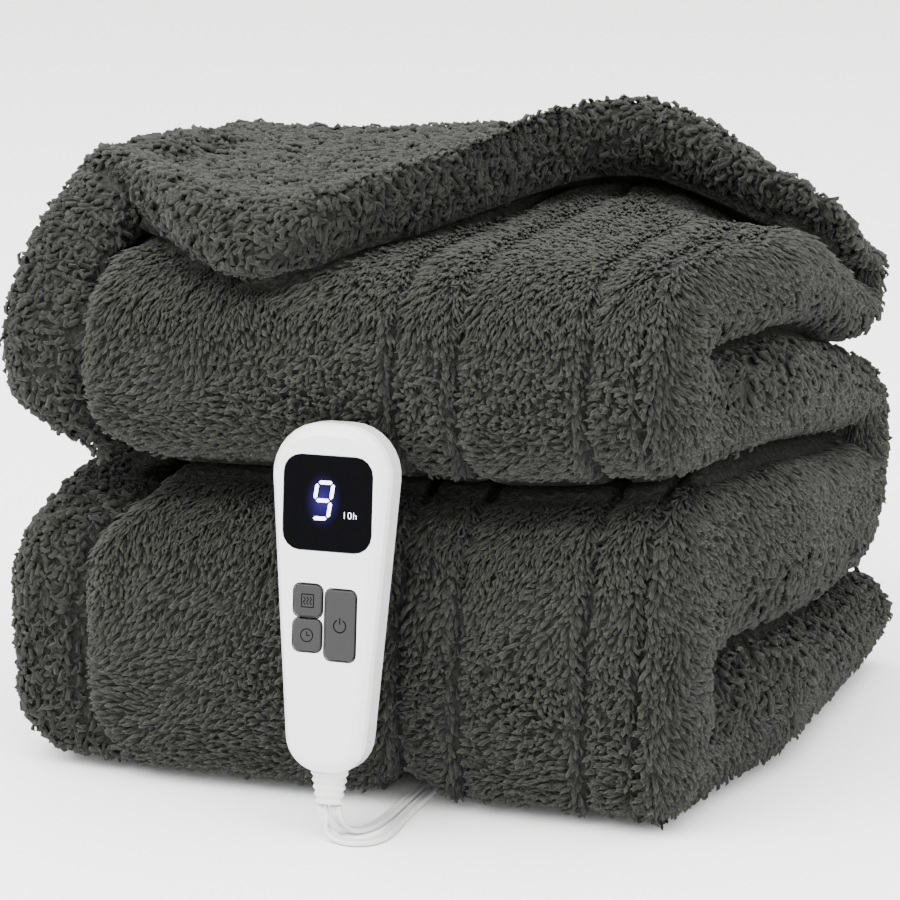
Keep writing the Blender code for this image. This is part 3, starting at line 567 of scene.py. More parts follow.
def dress_node(name, made):
    """Give a CAD node's object another material, in its slots."""
    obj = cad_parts[name]
    if not obj.material_slots:
        obj.data.materials.append(made)
    for slot in obj.material_slots:
        slot.material = made


def dress_piece(obj, made, body):
    """Dress a piece, and give it the body that it rides on."""
    dress(obj, made)
    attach(obj, body)


def ground_material():
    """Clumps of fibre between the tufts' roots, their colour darker than the pile's as painted shade deep in
    the pile, and darkest in the hollows between clumps, also painted shade.
    """
    if "pile roots" in bpy.data.materials:
        return bpy.data.materials["pile roots"]
    ground, shader = surface("pile roots", (0.012, 0.0124, 0.0108), 0.95, specular_ior_level=0.1)
    tree = ground.node_tree
    clumps = noise(tree, 380, 3, 0.6)
    bumped(tree, shader, clumps, 1.0, 2.5 * MM)
    # painted shade: the lower a clump's bump, the darker its colour
    share = math_node(tree, "POWER", clumps, 2.0)
    shaded_clumps = mixed(tree, share, (0.006, 0.006, 0.0054, 1), (0.05, 0.0515, 0.045, 1))
    tree.links.new(shaded_clumps, shader.inputs["Base Color"])
    return ground


# ---------------------------------------------------------------- the folded cloth
def fold_arc(low, high, depth, mid_y, towards, steps, squareness=FOLD_SQUARENESS):
    """(y, z) of a rounded fold: out = depth |cos a|^(2/s), up = sign(sin a) |sin a|^(2/s) of half its
    height, where s is the given squareness below the middle."""
    angle = np.linspace(-0.5 * math.pi, 0.5 * math.pi, steps + 1)[1:-1]
    exponent = 2 / np.where(angle < 0, squareness, FOLD_SQUARENESS)
    out = np.abs(np.cos(angle)) ** exponent * depth
    up = np.sign(np.sin(angle)) * np.abs(np.sin(angle)) ** exponent
    return np.stack([mid_y + towards * out, (low + high) / 2 + (high - low) / 2 * up], -1)


def crease_arc(low, high, mid_y, towards, steps):
    """(y, z) of a half circle across the gap between two layers."""
    angle = np.linspace(-0.5 * math.pi, 0.5 * math.pi, steps + 1)[1:-1]
    half = (high - low) / 2
    return np.stack([mid_y + towards * half * np.cos(angle), (low + high) / 2 + half * np.sin(angle)], -1)


def level_run(y_from, y_to, z, steps):
    """(y, z) along a level line."""
    y = np.linspace(y_from, y_to, steps)
    return np.stack([y, np.full(steps, z)], -1)


def section(run_steps, fold_steps):
    """Stations along the back-and-forth section: (y, z) of the combed face, (y, z) of the curly face, the
    band's share, the seams' share, and which fold it is: 0 lower front, 1 upper front, 2 back or hidden."""
    (z0, z1), (z2, z3), (z4, z5), (z6, z7) = LAYERS
    z8, z9 = z7 + LAYER_GAP, z7 + LAYER_GAP + FLAP_THICK
    front_y, back_y = FRONT + FRONT_FOLD_DEPTH, BACK - BACK_FOLD_DEPTH
    top_y, end_y = BACK - TOP_FOLD_DEPTH, BACK - FREE_END_DEPTH
    rows = []

    def take(combed, curly, band, seam, fold):
        one = np.ones(len(combed))
        rows.append(np.column_stack([combed, curly, one * band, one * seam, one * fold]))

    def run(y_from, y_to, combed_z, curly_z, band, seam, fold):
        faces = (level_run(y_from, y_to, z, len(band)) for z in (combed_z, curly_z))
        take(*faces, band, seam, fold)

    def turned(outer, inner, depth, y, towards, squareness=FOLD_SQUARENESS):
        over = fold_arc(*outer, depth, y, towards, fold_steps, squareness)
        return over, crease_arc(*inner, y, towards, fold_steps)

    forward, back_again = (
        BACK_BAND + 0.85 * smooth(line) ** 2
        for line in (np.linspace(0, 1, run_steps), np.linspace(1, 0, run_steps + 2))
    )
    share = np.array((0.02, 0.2, 0.4, 0.58, 0.74, 0.87, 0.95))
    out = FREE_END_DEPTH * rounded(share, RESTING_SQUARENESS)
    rise = (z1 - z0) / 2 * share
    take(*(np.stack([end_y + out, z1 / 2 + side * rise], -1) for side in (-1, 1)), BACK_BAND, 0, 2)
    run(end_y, front_y, z0, z1, forward, 0, 0)
    take(*turned((z0, z3), (z1, z2), FRONT_FOLD_DEPTH, front_y, -1, RESTING_SQUARENESS), 1, 1, 0)
    run(front_y, back_y, z3, z2, forward[::-1], 0.3, 0)
    take(*turned((z2, z5), (z3, z4), BACK_FOLD_DEPTH, back_y, 1)[::-1], BACK_BAND, 0, 2)
    run(back_y, front_y, z4, z5, forward, 0.3, 1)
    take(*turned((z4, z7), (z5, z6), FRONT_FOLD_DEPTH, front_y, -1), 1, 1, 1)
    run(front_y, top_y, z7, z6, back_again, 1, 1)
    take(*turned((z6, z9), (z7, z8), TOP_FOLD_DEPTH, top_y, 1)[::-1], BACK_BAND, 0, 2)
    return np.vstack(rows)


def top_of_fourth(y):
    """Height of the fourth layer's upper face, a superellipse where it rounds down at the front fold."""
    low, high = LAYERS[2][0], CLOTH_TOP
    ahead = np.clip((FRONT + FRONT_FOLD_DEPTH - y) / FRONT_FOLD_DEPTH, 0, 0.97)
    return (low + high) / 2 + (high - low) / 2 * rounded(ahead, FOLD_SQUARENESS)


def flap_faces(x, reach, turn=0.0):
    """Y, and the heights of the flap's lower and upper face, at a share of its reach to its rolled edge."""
    start_y = BACK - TOP_FOLD_DEPTH
    edge_y, lift, roll = (table_column(FLAP_EDGE, column, x) for column in (1, 2, 3))
    edge_y = edge_y + roll
    y = start_y + reach * (edge_y - start_y)
    low = top_of_fourth(y - 0.45 * roll * math.sin(turn)) + LAYER_GAP + lift * smooth(1.4 * reach - 0.4)
    plump = smooth(1 - (y - edge_y) / (34 * MM)) * smooth(2 * reach)
    half = (FLAP_THICK + (2 * roll - FLAP_THICK) * plump) / 2
    middle = low + half
    return y - roll * math.sin(turn), middle - half * math.cos(turn), middle + half * math.cos(turn)


def end_profile(x):
    """Share of a layer's half thickness: superellipse quarters at the two ends."""
    left = rounded(1 - (x - LEFT) / LEFT_END_ROUND, END_SQUARENESS)
    return left * rounded(1 - (RIGHT - x) / RIGHT_END_ROUND, END_SQUARENESS)


def past_band(x, z):
    """How far x lies beyond the curly band's inner edge."""
    tuck = bell((z - MIDDLE_CREASE) / (14 * MM)) + bell(z / (18 * MM))
    return x - (LEFT + BAND_WIDTH + BAND_TUCK * tuck)


def relief(x, z, band, seam):
    """How far the combed face is drawn in: a bell at each seam, and a step and a groove at the band."""
    depth = sum(bell((x - at) / (0.6 * SEAM_HALF_WIDTH)) for at in SEAMS) * SEAM_DEPTH * seam
    band = band * smooth(z / BAND_FLOOR_FADE)
    past = past_band(x, z)
    bulge = rounded(1 - past / BULGE_ROUND, 2)
    depth = depth + band * BAND_SET_BACK * np.where(past < 0, 1.0, 1 - bulge)
    return depth + band * BAND_GROOVE * bell(past / (5 * MM))


def settled(points):
    """The cloth as it lies, as in its solid: lifts, sinks, draws in and waves by products of smooth steps."""
    x, y, z = points[..., 0], points[..., 1], points[..., 2]
    level = z / CLOTH_TOP
    right, left = smooth((x - 50 * MM) / (100 * MM)), smooth((-x - 10 * MM) / (120 * MM))
    low_front = smooth((-70 * MM - y) / (30 * MM)) * (1 - smooth((level - 0.38) / 0.14))
    ahead = smooth((30 * MM - y) / (80 * MM)) * (1 - 0.9 * low_front)
    behind, front = smooth((y + 10 * MM) / (120 * MM)), smooth((-y - 60 * MM) / (80 * MM))
    shaded_clumps = RIGHT_LIFT * right * ahead * smooth(z / (60 * MM)) * (1 - 0.6 * smooth((level - 0.6) / 0.4))
    sunk = BACK_RIGHT_SINK * right * behind * level**2 + left * level * (LEFT_SINK + BACK_LEFT_SINK * behind)
    pressed = bell((z - LAYERS[0][1]) / (36 * MM)) * smooth(z / (45 * MM))
    sunk = sunk + LOW_RIGHT_PRESS * smooth((x - 40 * MM) / (100 * MM)) * pressed
    sunk = sunk + TOP_DIP * bell((x + 50 * MM) / (70 * MM)) * level**2
    across = np.abs(x - TUNNEL_X)
    over = 1 - smooth((across - TUNNEL_HALF_FLAT) / (TUNNEL_HALF_WIDTH - TUNNEL_HALF_FLAT))
    tunnel = TUNNEL_HEIGHT * over * np.clip(1 - z / TUNNEL_FADE, 0, 1)
    drawn_in = RIGHT_DRAWN_IN * smooth((x - 108 * MM) / (52 * MM)) * smooth((-y - 20 * MM) / (90 * MM))
    waist = CREASE_WAIST * bell((z - MIDDLE_CREASE) / (20 * MM)) + FLOOR_WAIST * bell(z / (18 * MM))
    drawn_in = drawn_in - waist * smooth((-x - 100 * MM) / (50 * MM)) * front - LEFT_DRAWN_IN * left
    drawn_in = drawn_in + TOP_DRAWN_IN * smooth((x - 90 * MM) / (70 * MM)) * smooth((level - 0.55) / 0.35)
    wave = FRONT_WAVE * np.sin(x / (38 * MM) + z / (50 * MM)) + RIGHT_SET_BACK * right
    return np.stack([x - drawn_in, y + front * wave, z + shaded_clumps - sunk + tunnel], -1)


def cloth_grid(columns, run_steps, fold_steps, flap_steps):
    """The cloth's skin as (station, around, 3), and per point: whether its pile is curly, its x before the
    cloth settles, whether seams cross it, and its height in its fold from 0 to 1."""
    x = np.asarray(columns)
    count = len(x)
    share = end_profile(x)[:, None]
    faces = [
        (np.broadcast_to(row[:2], (count, 2)), np.broadcast_to(row[2:4], (count, 2)), *row[4:])
        for row in section(run_steps, fold_steps)
    ]
    turns = [(reach, 0.0) for reach in np.linspace(0, 1, flap_steps)]
    turns += [(1.0, math.radians(angle)) for angle in (12, 24, 36, 48, 60, 72, 82, 88)]
    for reach, turn in turns:
        y, low, high = flap_faces(x, reach, turn)
        faces.append((np.stack([y, low], -1), np.stack([y, high], -1), 0.0, 0.0, 3.0))
    rings, curly, seams, heights = [], [], [], []
    for combed, back_face, band, seam, fold in faces:
        middle, half = (combed + back_face) / 2, (combed - back_face) / 2
        length = np.maximum(np.linalg.norm(half, axis=-1, keepdims=True), 1e-9)
        drawn = np.minimum(relief(x, combed[:, 1], band, seam)[:, None], 0.75 * length * share)
        over = np.column_stack([x, middle + half * share - half / length * drawn])
        back = np.column_stack([x, middle - half * share])[1:-1][::-1]
        rings.append(np.concatenate([over, back]))
        is_band = (past_band(x, combed[:, 1]) < 0) | (fold == 3)
        curly.append(np.concatenate([is_band, np.ones(count - 2, bool)]))
        seams.append(np.concatenate([np.full(count, seam > 0.25), np.zeros(count - 2, bool)]))
        low, high = (LAYERS[0][0], MIDDLE_CREASE) if fold == 0 else (LAYERS[2][0], CLOTH_TOP)
        heights.append(np.clip((rings[-1][:, 2] - low) / (high - low), 0, 1))
    rings = np.array(rings)
    fields = dict(curly=np.array(curly, float), seamed=np.array(seams, float), high=np.array(heights))
    return settled(rings), dict(fields, x=rings[..., 0])


def shoulder_grid(count, around):
    """The flap's left margin as (station, around, 3): flattened ellipses carried along its middle line."""
    line = curve_through(SHOULDER, count)
    x, y, z, half_width, half_thick = line.T[:, :, None]
    ahead = unit(np.gradient(line[:, 1:3], axis=0))
    angle = np.linspace(0, 2 * math.pi, around, endpoint=False)
    across, up = half_width * np.cos(angle), half_thick * np.sin(angle)
    return settled(np.stack([x + across, y + up * ahead[:, 1:], z - up * ahead[:, :1]], -1))


def grid_normals(points):
    """Outward unit normals of a closed skin of rings: the cross product of its two directions."""
    around = np.roll(points, -1, axis=1) - np.roll(points, 1, axis=1)
    along = np.gradient(points, axis=0)
    normals = unit(np.cross(around, along))
    middle = points.mean(axis=1, keepdims=True)
    if (normals * (points - middle)).sum() < 0:
        normals = -normals
    return normals


def grid_faces(stations, around):
    """Quads of a skin of rings."""
    ids = np.arange(stations * around).reshape(stations, around)
    step = np.roll(ids, -1, axis=1)
    return np.stack([ids[:-1], step[:-1], step[1:], ids[1:]], -1).reshape(-1, 4)


def cloth_columns():
    """Where the skin's stations stand across x: close at the rounded ends, the seams and the band's edge."""
    ends = np.array((0, 0.5, 1.8, 4, 7, 11, 16)) * MM
    beside = np.array((-6, -3.6, -1.6, 0, 1.6, 3.6, 6)) * MM
    band = LEFT + BAND_WIDTH + np.array((-4, -1, 1, 4, 8, 12, 17, 22, 27)) * MM
    close = np.concatenate([LEFT + ends, RIGHT - ends, band] + [at + beside for at in SEAMS])
    even = np.arange(LEFT + 22 * MM, RIGHT - 20 * MM, 6.5 * MM)
    even = even[np.abs(even[:, None] - close).min(axis=1) > 2.5 * MM]
    return np.sort(np.concatenate([close, even]))


def skin_tree(points, normals):
    """A search tree of a skin whose faces look outwards."""
    faces = grid_faces(*points.shape[:2])
    flat = points.reshape(-1, 3)
    corner = flat[faces]
    looks = np.cross(corner[:, 1] - corner[:, 0], corner[:, 2] - corner[:, 0])
    if (looks * normals.reshape(-1, 3)[faces[:, 0]]).sum() < 0:
        faces = faces[:, ::-1]
    return BVHTree.FromPolygons(flat.tolist(), faces.tolist())


def within(tree, points):
    """Whether each point lies inside a closed skin, which its nearest face then looks away from."""
    inside = []
    for point in points.reshape(-1, 3).tolist():
        where, normal, _, _ = tree.find_nearest(point, 20 * MM)
        inside.append(where is not None and (Vector(point) - where).dot(normal) < 0)
    return np.array(inside).reshape(points.shape[:2])


def openness(points, normals, blockers):
    """Share of five rays that run free for 30 mm: one along the normal, which counts twice, and four that
    lean from it."""
    flat, out = points.reshape(-1, 3), normals.reshape(-1, 3)
    side = unit(np.cross(out, np.where(np.abs(out[:, 2:]) > 0.9, (1.0, 0, 0), (0, 0, 1.0))))
    other = np.cross(out, side)
    free = np.zeros(len(flat))
    for lean_side, lean_other, weight in ((0, 0, 2), (1, 0, 1), (-1, 0, 1), (0, 1, 1), (0, -1, 1)):
        way = unit(out + lean_side * side + lean_other * other)
        start = flat + out * 0.8 * MM
        for k, (origin, ray) in enumerate(zip(start.tolist(), way.tolist())):
            reach = 30 * MM if ray[2] > -0.2 else min(30 * MM, origin[2] / -ray[2])
            if any(tree.ray_cast(origin, ray, reach)[0] is not None for tree in blockers):
                continue
            if reach > 4 * MM:
                free[k] += weight / 6
    return free.reshape(points.shape[:2])


def scattered(points, spacing, wanted, rng):
    """Places spread over a grid of quads: each quad is cut into cells of about spacing, with one place at
    random in each cell. Returns the quads' row and column, and where in the quad each place lies."""
    beside = np.roll(points, -1, axis=1)
    width = np.linalg.norm(beside - points, axis=-1)
    length = np.linalg.norm(points[1:] - points[:-1], axis=-1)
    width = (width[:-1] + width[1:]) / 2
    length = (length + np.roll(length, -1, axis=1)) / 2
    gap = spacing[:-1]
    across = np.floor(width / gap + rng.random(width.shape)).astype(int)
    along = np.floor(length / gap + rng.random(width.shape)).astype(int)
    count = (across * along * wanted[:-1]).ravel()
    quad = np.repeat(np.arange(count.size), count)
    cell = np.arange(count.sum()) - np.repeat(np.cumsum(count) - count, count)
    across, along = across.ravel()[quad], along.ravel()[quad]
    u = (cell % across + rng.random(len(quad))) / across
    v = (cell // across + rng.random(len(quad))) / along
    return quad // points.shape[1], quad % points.shape[1], u, v


def between(field, row, column, u, v):
    """A grid's values at places in its quads, by bilinear mixing."""
    beside = (column + 1) % field.shape[1]
    if field.ndim == 3:
        u, v = u[:, None], v[:, None]
    first = field[row, column] * (1 - u) + field[row, beside] * u
    second = field[row + 1, column] * (1 - u) + field[row + 1, beside] * u
    return first * (1 - v) + second * v


def tufts(name, rings, root, out, way, length, width, lift, bow, bend, chance, open_share):
    """Tufts of pile. Each is a three-sided lock with a blunt tip, on a line that leaves its root at the lift
    angle above the cloth, towards way. At each ring the line bows towards the cloth by the bow angle and
    turns in the cloth's face by the bend angle. Its half width is width times the swell of each ring. Its
    shading normals lean towards the cloth's own, as those of soft fibres do."""
    reach, swell = TUFTS[rings]
    across = np.cross(out, way)
    centre, corners, facing = root, [], []
    for k in range(rings):
        rise, turn = (lift - bow * (k - 0.5))[:, None], (bend * (k - 0.5))[:, None]
        flat = np.cos(turn) * way + np.sin(turn) * across
        heading = np.cos(rise) * flat + np.sin(rise) * out
        side = unit(np.cross(heading, out))
        over = np.cross(side, heading)
        for corner in (90, 210, 330):
            a = math.radians(corner)
            offset = math.cos(a) * side + 0.85 * math.sin(a) * over
            corners.append(centre + offset * (width * swell[k])[:, None])
            facing.append(unit(offset + SOFTNESS * out))
        centre = centre + heading * (length * (reach[k + 1] - reach[k]))[:, None]
    corners.append(centre)
    facing.append(unit(heading + SOFTNESS * out))
    points = np.stack(corners, axis=1)
    points[..., 2] = np.maximum(points[..., 2], 0.25 * MM)
    faces = [(0, 1, 2)]
    for k in range(rings - 1):
        for i in range(3):
            a, b = 3 * k + i, 3 * k + (i + 1) % 3
            faces += [(b, a, b + 3), (b + 3, a, a + 3)]
    last = 3 * (rings - 1)
    faces += [(last + (i + 1) % 3, last + i, 3 * rings) for i in range(3)]
    each = 3 * rings + 1
    first = np.arange(len(root))[:, None, None] * each
    obj = mesh_object(name, points.reshape(-1, 3), (np.array(faces)[None] + first).reshape(-1, 3))
    obj.data.normals_split_custom_set_from_vertices(np.stack(facing, axis=1).reshape(-1, 3))
    along = np.repeat(np.append(np.repeat(reach[:-1], 3), 1.0)[None], len(root), axis=0)
    around = np.broadcast_to(np.append(np.tile((0.0, 1 / 3, 2 / 3), rings), 0.5), along.shape)
    chance, open_share = (np.repeat(values[:, None], each, 1) for values in (chance, open_share))
    # the tuft attribute holds along, chance, open_share as painted shade of shut-in places and seams, and
    # around
    told = np.stack([along, chance, open_share, around], -1)
    attribute = obj.data.attributes.new("tuft", "FLOAT_COLOR", "POINT")
    attribute.data.foreach_set("color", told.astype(np.float32).ravel())
    return obj


def combing(out, corner, high, by_seam):
    """The way the long pile lies, in the cloth's face: to the left low in a fold, down and a little left high
    in it, straight down along the seams and at the right corner, and down and back on the right ends."""
    sideways = smooth((0.62 - high) / 0.3) * (1 - by_seam) * (1 - corner)
    slant = 0.3 * (1 - corner) * (1 - by_seam) * (1 - smooth((out[:, 2] - 0.1) / 0.5))
    back = 0.55 * smooth((out[:, 0] - 0.75) / 0.25)
    way = np.stack([-slant - (1 - slant) * sideways, back - 0.25 * (1 - corner), -1.0 + 0.9 * sideways], -1)
    flat = way - out * (way * out).sum(-1, keepdims=True)
    return unit(flat + 1e-4)


def hanging(out):
    """The way the curls lie, in the cloth's face: forward and down, and level on a face that looks left."""
    left = smooth((-out[:, :1] - 0.25) / 0.4)
    way = np.array((-0.35, -0.9, -1.0)) * (1 - left) + np.array((0.2, -1.0, 0.1)) * left
    return unit(way - out * (way * out).sum(-1, keepdims=True) + 1e-4)


def seam_gap(x):
    """Distance to the nearest seam."""
    return np.min([np.abs(x - at) for at in SEAMS], axis=0)


def lay_curls(place, out, looks, rng):
    """How the short curls lie: their way, angles of lift, bow and turn, length, half width and root depth."""
    count = len(place)
    way = hanging(out)
    astray = np.radians(40 * swirl(place, 26 * MM, 9) + 42 * rng.normal(0, 1, count))
    way = way * np.cos(astray)[:, None] + np.cross(out, way) * np.sin(astray)[:, None]
    lift, bow = (np.radians(rng.uniform(*ends, count)) for ends in (CURL_LIFT, CURL_BOW))
    turn = np.radians(rng.uniform(*CURL_TURN, count)) * rng.choice((-1, 1), count)
    length = looks.curly_length * rng.uniform(*CURL_LENGTHS, count) * (1 + 0.1 * swirl(place, 22 * MM, 5))
    width = looks.curly_width * rng.uniform(*CURL_WIDTHS, count)
    return way, lift, bow, turn, length, width, looks.curly_rooting * rng.uniform(*CURL_ROOTS, count)


def lay_locks(place, out, high, seam, by_seam, looks, rng):
    """The same of the long locks. They curl in a belt across each fold's middle, lie sleek on faces that look
    up, and lie straight beside the seams and round the right corner."""
    count = len(place)
    corner = smooth((out[:, 0] - 0.15) / 0.35)
    way = combing(out, corner, high, smooth(1.6 * bell(seam / (3.4 * MM))))
    curls = bell((high - 0.45) / 0.16) * smooth((place[:, 0] + 75 * MM) / (50 * MM)) * (1 - corner)
    sleek = smooth((out[:, 2] - 0.35) / 0.4)
    wander = 32 * swirl(place, 34 * MM, 9) * (1 - by_seam) * (1 - 0.6 * sleek)
    astray = np.radians(wander + (13 + 55 * curls * (1 - by_seam)) * rng.normal(0, 1, count))
    way = way * np.cos(astray)[:, None] + np.cross(out, way) * np.sin(astray)[:, None]
    lift = np.radians(20 + 12 * curls - 9 * sleek + rng.normal(0, 7, count) * (1 - 0.5 * sleek))
    bow = np.radians(rng.uniform(*LOCK_BOW, count) * (1 - 0.5 * sleek) + 12 * curls)
    turn = np.radians(rng.normal(0, 32, count) + curls * rng.normal(0, 40, count))
    uneven = 1 + 0.12 * swirl(place, 22 * MM, 5) - 0.1 * curls
    length = looks.combed_length * rng.uniform(*LOCK_LENGTHS, count) * uneven
    length = length * (1 - 0.12 * by_seam) * (1 + 0.5 * sleek)
    width = looks.combed_width * rng.uniform(*LOCK_WIDTHS, count) * (1 + 0.12 * curls - 0.3 * sleek)
    deep = looks.combed_rooting * rng.uniform(*LOCK_ROOTS, count) * (1 - 0.25 * sleek)
    return way, lift, bow, turn, length, width, deep


def build_pile(points, normals, free, fields, looks, seed, region):
    """The tufts of one stretch of the skin. Returns their objects, and whether each is curly."""
    rng = np.random.default_rng(seed)
    made = []
    for curly in (False, True):
        if curly:
            spacing = looks.curly_spacing * (1 + 0.32 * smooth((normals[..., 1] - 0.2) / 0.4))
        else:
            spacing = looks.combed_spacing * (1 - 0.22 * smooth((normals[..., 2] - 0.35) / 0.4))
        wanted = (free > 0.12) & ~((points[..., 2] < 2.5 * MM) & (normals[..., 2] < -0.5))
        spots = scattered(points, spacing, wanted.astype(int), rng)
        kind = between(fields["curly"], *spots) > 0.5
        seam = seam_gap(between(fields["x"], *spots))
        seam = np.where(between(fields["seamed"], *spots) > 0.5, seam, 1.0)
        keep = (kind == curly) & (seam > looks.seam_gap)
        spots, seam = [values[keep] for values in spots], seam[keep]
        if not len(seam):
            continue
        place, out = between(points, *spots), unit(between(normals, *spots))
        open_share = between(free, *spots)
        by_seam = bell(seam / (2.0 * MM))
        if curly:
            way, lift, bow, turn, length, width, deep = lay_curls(place, out, looks, rng)
            label, most, rings = "curls", MOST_CURLS, CURL_RINGS
        else:
            high = between(fields["high"], *spots)
            way, lift, bow, turn, length, width, deep = lay_locks(place, out, high, seam, by_seam, looks, rng)
            label, most, rings = "locks", MOST_LOCKS, LOCK_RINGS
        length = length * (0.6 + 0.4 * smooth(open_share / 0.5))
        root = place - out * (deep - 0.2 * MM * by_seam)[:, None]
        # painted shade: tufts darker where the cloth is shut in between layers and beside the seams
        shaded = (0.4 + 0.6 * smooth(open_share / 0.75)) * (1 - 0.4 * by_seam)
        lain = (root, out, way, length, width, lift, bow, turn, rng.random(len(place)), shaded)
        for part, start in enumerate(range(0, len(place), most)):
            name = f"{label}_{region}" + (f"_{part + 1}" if len(place) > most else "")
            made.append((tufts(name, rings, *(values[start : start + most] for values in lain)), curly))
    return made


# ---------------------------------------------------------------- the handset's face
def handset_matrix():
    """From across, up and out on the handset to the row frame."""
    across, up = Vector((1, 0, 0)), Vector((0, 0, 1))
    upright = Matrix((across, up, across.cross(up))).transposed().to_4x4()
    leaning = Matrix.Rotation(-math.radians(HANDSET_LEAN), 4, "X")
    tilted = Matrix.Rotation(math.radians(HANDSET_TILT), 4, "Z")
    return Matrix.Translation(Vector(HANDSET_BASE)) @ upright @ leaning @ tilted


def plates(name, outlines, low, high):
    """Thin plates over the handset's face: each outline, in metres across and up, raised from low to high."""
    points, faces = [], []
    for outline in outlines:
        first, count = len(points), len(outline)
        points += [(x, y, z) for z in (low, high) for x, y in outline]
        lower = list(range(first, first + count))
        faces += [lower[::-1], [k + count for k in lower]]
        faces += [[a, b, b + count, a + count] for a, b in zip(lower, lower[1:] + lower[:1])]
    obj = closed_object(name, points, faces, False)
    obj.data.transform(handset_matrix())
    return obj


def moved(outlines, x, y):
    """Outlines moved across and up."""
    return [[(x + px, y + py) for px, py in outline] for outline in outlines]


def stroke(path, width):
    """The outline of a pen stroke: a path offset by half its width to either side. A closed path, whose ends
    meet, gives two halves."""
    path = np.array(path, float)
    ahead = unit(np.gradient(path, axis=0))
    side = np.stack([-ahead[:, 1], ahead[:, 0]], -1) * width / 2
    return np.concatenate([path + side, (path - side)[::-1]]).tolist()


def arc(middle, radius, start, end, steps=16):
    """Points of a circle's arc, angles in degrees."""
    angle = np.radians(np.linspace(start, end, steps))
    return np.stack([middle[0] + radius * np.cos(angle), middle[1] + radius * np.sin(angle)], -1)


def bar(start, end, width):
    """A display segment: a bar between two points with pointed ends."""
    start, end = np.array(start), np.array(end)
    ahead = (end - start) / np.linalg.norm(end - start)
    side = np.array((-ahead[1], ahead[0])) * width / 2
    tip = ahead * width / 2
    return [start, start + tip + side, end - tip + side, end, end - tip - side, start + tip - side]


# ---------------------------------------------------------------- leads
def coil_points(middle, wide, start, way, turns, layers, steps=26):
    """Turns of a coil about its middle. The radius falls by one pitch a turn in the first layer and grows
    again in the next, and the height steps up a layer where a layer is full."""
    count = int(turns * steps)
    n = np.linspace(0, turns, count)
    rows = wide - 1
    if rows:
        radius = TURN_RADIUS + LEAD_PITCH * (rows / 2 - np.where(n < rows, n, np.clip(2 * rows - n, 0, rows)))
        level = smooth((n - rows + 0.3) / 0.3)
    else:
        radius = np.full(count, TURN_RADIUS)
        level = sum(smooth((n - k + 0.15) / 0.15) for k in range(1, layers))
    angle = start + way * 2 * math.pi * n
    x, y = middle[0] + radius * np.cos(angle), middle[1] + radius * np.sin(angle)
    return np.stack([x, y, LEAD_ON_FLOOR + LAYER_PITCH * level], -1)


def flat_lead(name, line):
    """A flat twin lead along a line: an oval with a waist between its two cores, its width level except by
    the strain relief, where it lies across the handset."""
    ahead = unit(np.gradient(line, axis=0))
    level = unit(np.cross(ahead, (0.0, 0.0, 1.0)) + 1e-9)
    share = smooth(gone_by(line) / (16 * MM))[:, None]
    wide = unit((1 - share) * np.array((1.0, 0, 0)) + share * level)
    wide = unit(wide - ahead * (wide * ahead).sum(-1, keepdims=True))
    thick = np.cross(wide, ahead)
    angle = np.linspace(0, 2 * math.pi, 20, endpoint=False)
    u = LEAD_WIDTH / 2 * np.sign(np.cos(angle)) * np.abs(np.cos(angle)) ** 0.8
    waist = 1 - 0.55 * bell(u / (0.7 * MM))
    w = LEAD_THICK / 2 * np.sign(np.sin(angle)) * np.abs(np.sin(angle)) ** 0.75 * waist
    rings = line[:, None] + wide[:, None] * u[None, :, None] + thick[:, None] * w[None, :, None]
    rings[..., 2] = np.maximum(rings[..., 2], 0.12 * MM)
    return lofted_object(name, rings)


def lead_line(route, coil, tail):
    """A lead's whole middle line in metres: its route on the floor, its coil's turns and its tail."""
    loose = np.array(route) * MM
    loose[:, 2] -= (2.5 * MM - LEAD_ON_FLOOR) * smooth((8 * MM - loose[:, 2]) / (5 * MM))
    loose = eased(curve_through(loose, int(walked(loose) / (1.6 * MM))), 3)
    line = np.vstack([loose, coil_points(**coil), np.array(tail) * MM])
    return curve_through(line, int(walked(line) / (3.0 * MM)))


def walked(line):
    """Length of a line in metres."""
    return float(np.linalg.norm(np.diff(line, axis=0), axis=1).sum())


# ---------------------------------------------------------------- what a user may change
def millimetres(name, description, value):
    """A length that a user may change."""
    return FloatProperty(name=name, description=description, default=value * MM, unit="LENGTH")


def tint(name, description, *colour):
    """A colour that a user may change."""
    return FloatVectorProperty(name=name, description=description, default=colour, subtype="COLOR", size=3)


def brightness(name, description, value):
    """A brightness that a user may change."""
    return FloatProperty(name=name, description=description, default=value, min=0)


class PileLooks(bpy.types.PropertyGroup):
    combed_spacing: millimetres("Lock spacing", "Distance between the long locks", 2.03)
    combed_length: millimetres("Lock length", "Length of the long combed locks", 5.6)
    combed_width: millimetres("Lock half width", "Half width of a long lock", 1.05)
    combed_rooting: millimetres("Lock rooting", "Depth of the locks' roots below the outline", 3.5)
    curly_spacing: millimetres("Curl spacing", "Distance between the short curls", 3.0)
    curly_length: millimetres("Curl length", "Length of the short curls", 8.2)
    curly_width: millimetres("Curl half width", "Half width of a short curl", 1.4)
    curly_rooting: millimetres("Curl rooting", "Depth of the curls' roots below the outline", 4.0)
    root_depth: millimetres("Ground depth", "How far below the outline the woven ground lies", 3.1)
    seam_gap: millimetres("Seam gap", "Half width of the bare line along a seam", 0.65)
    combed_colour: tint("Lock colour", "Colour of the combed face", 0.0302, 0.0311, 0.0260)
    curly_colour: tint("Curl colour", "Colour of the curly face", 0.0243, 0.0251, 0.0209)


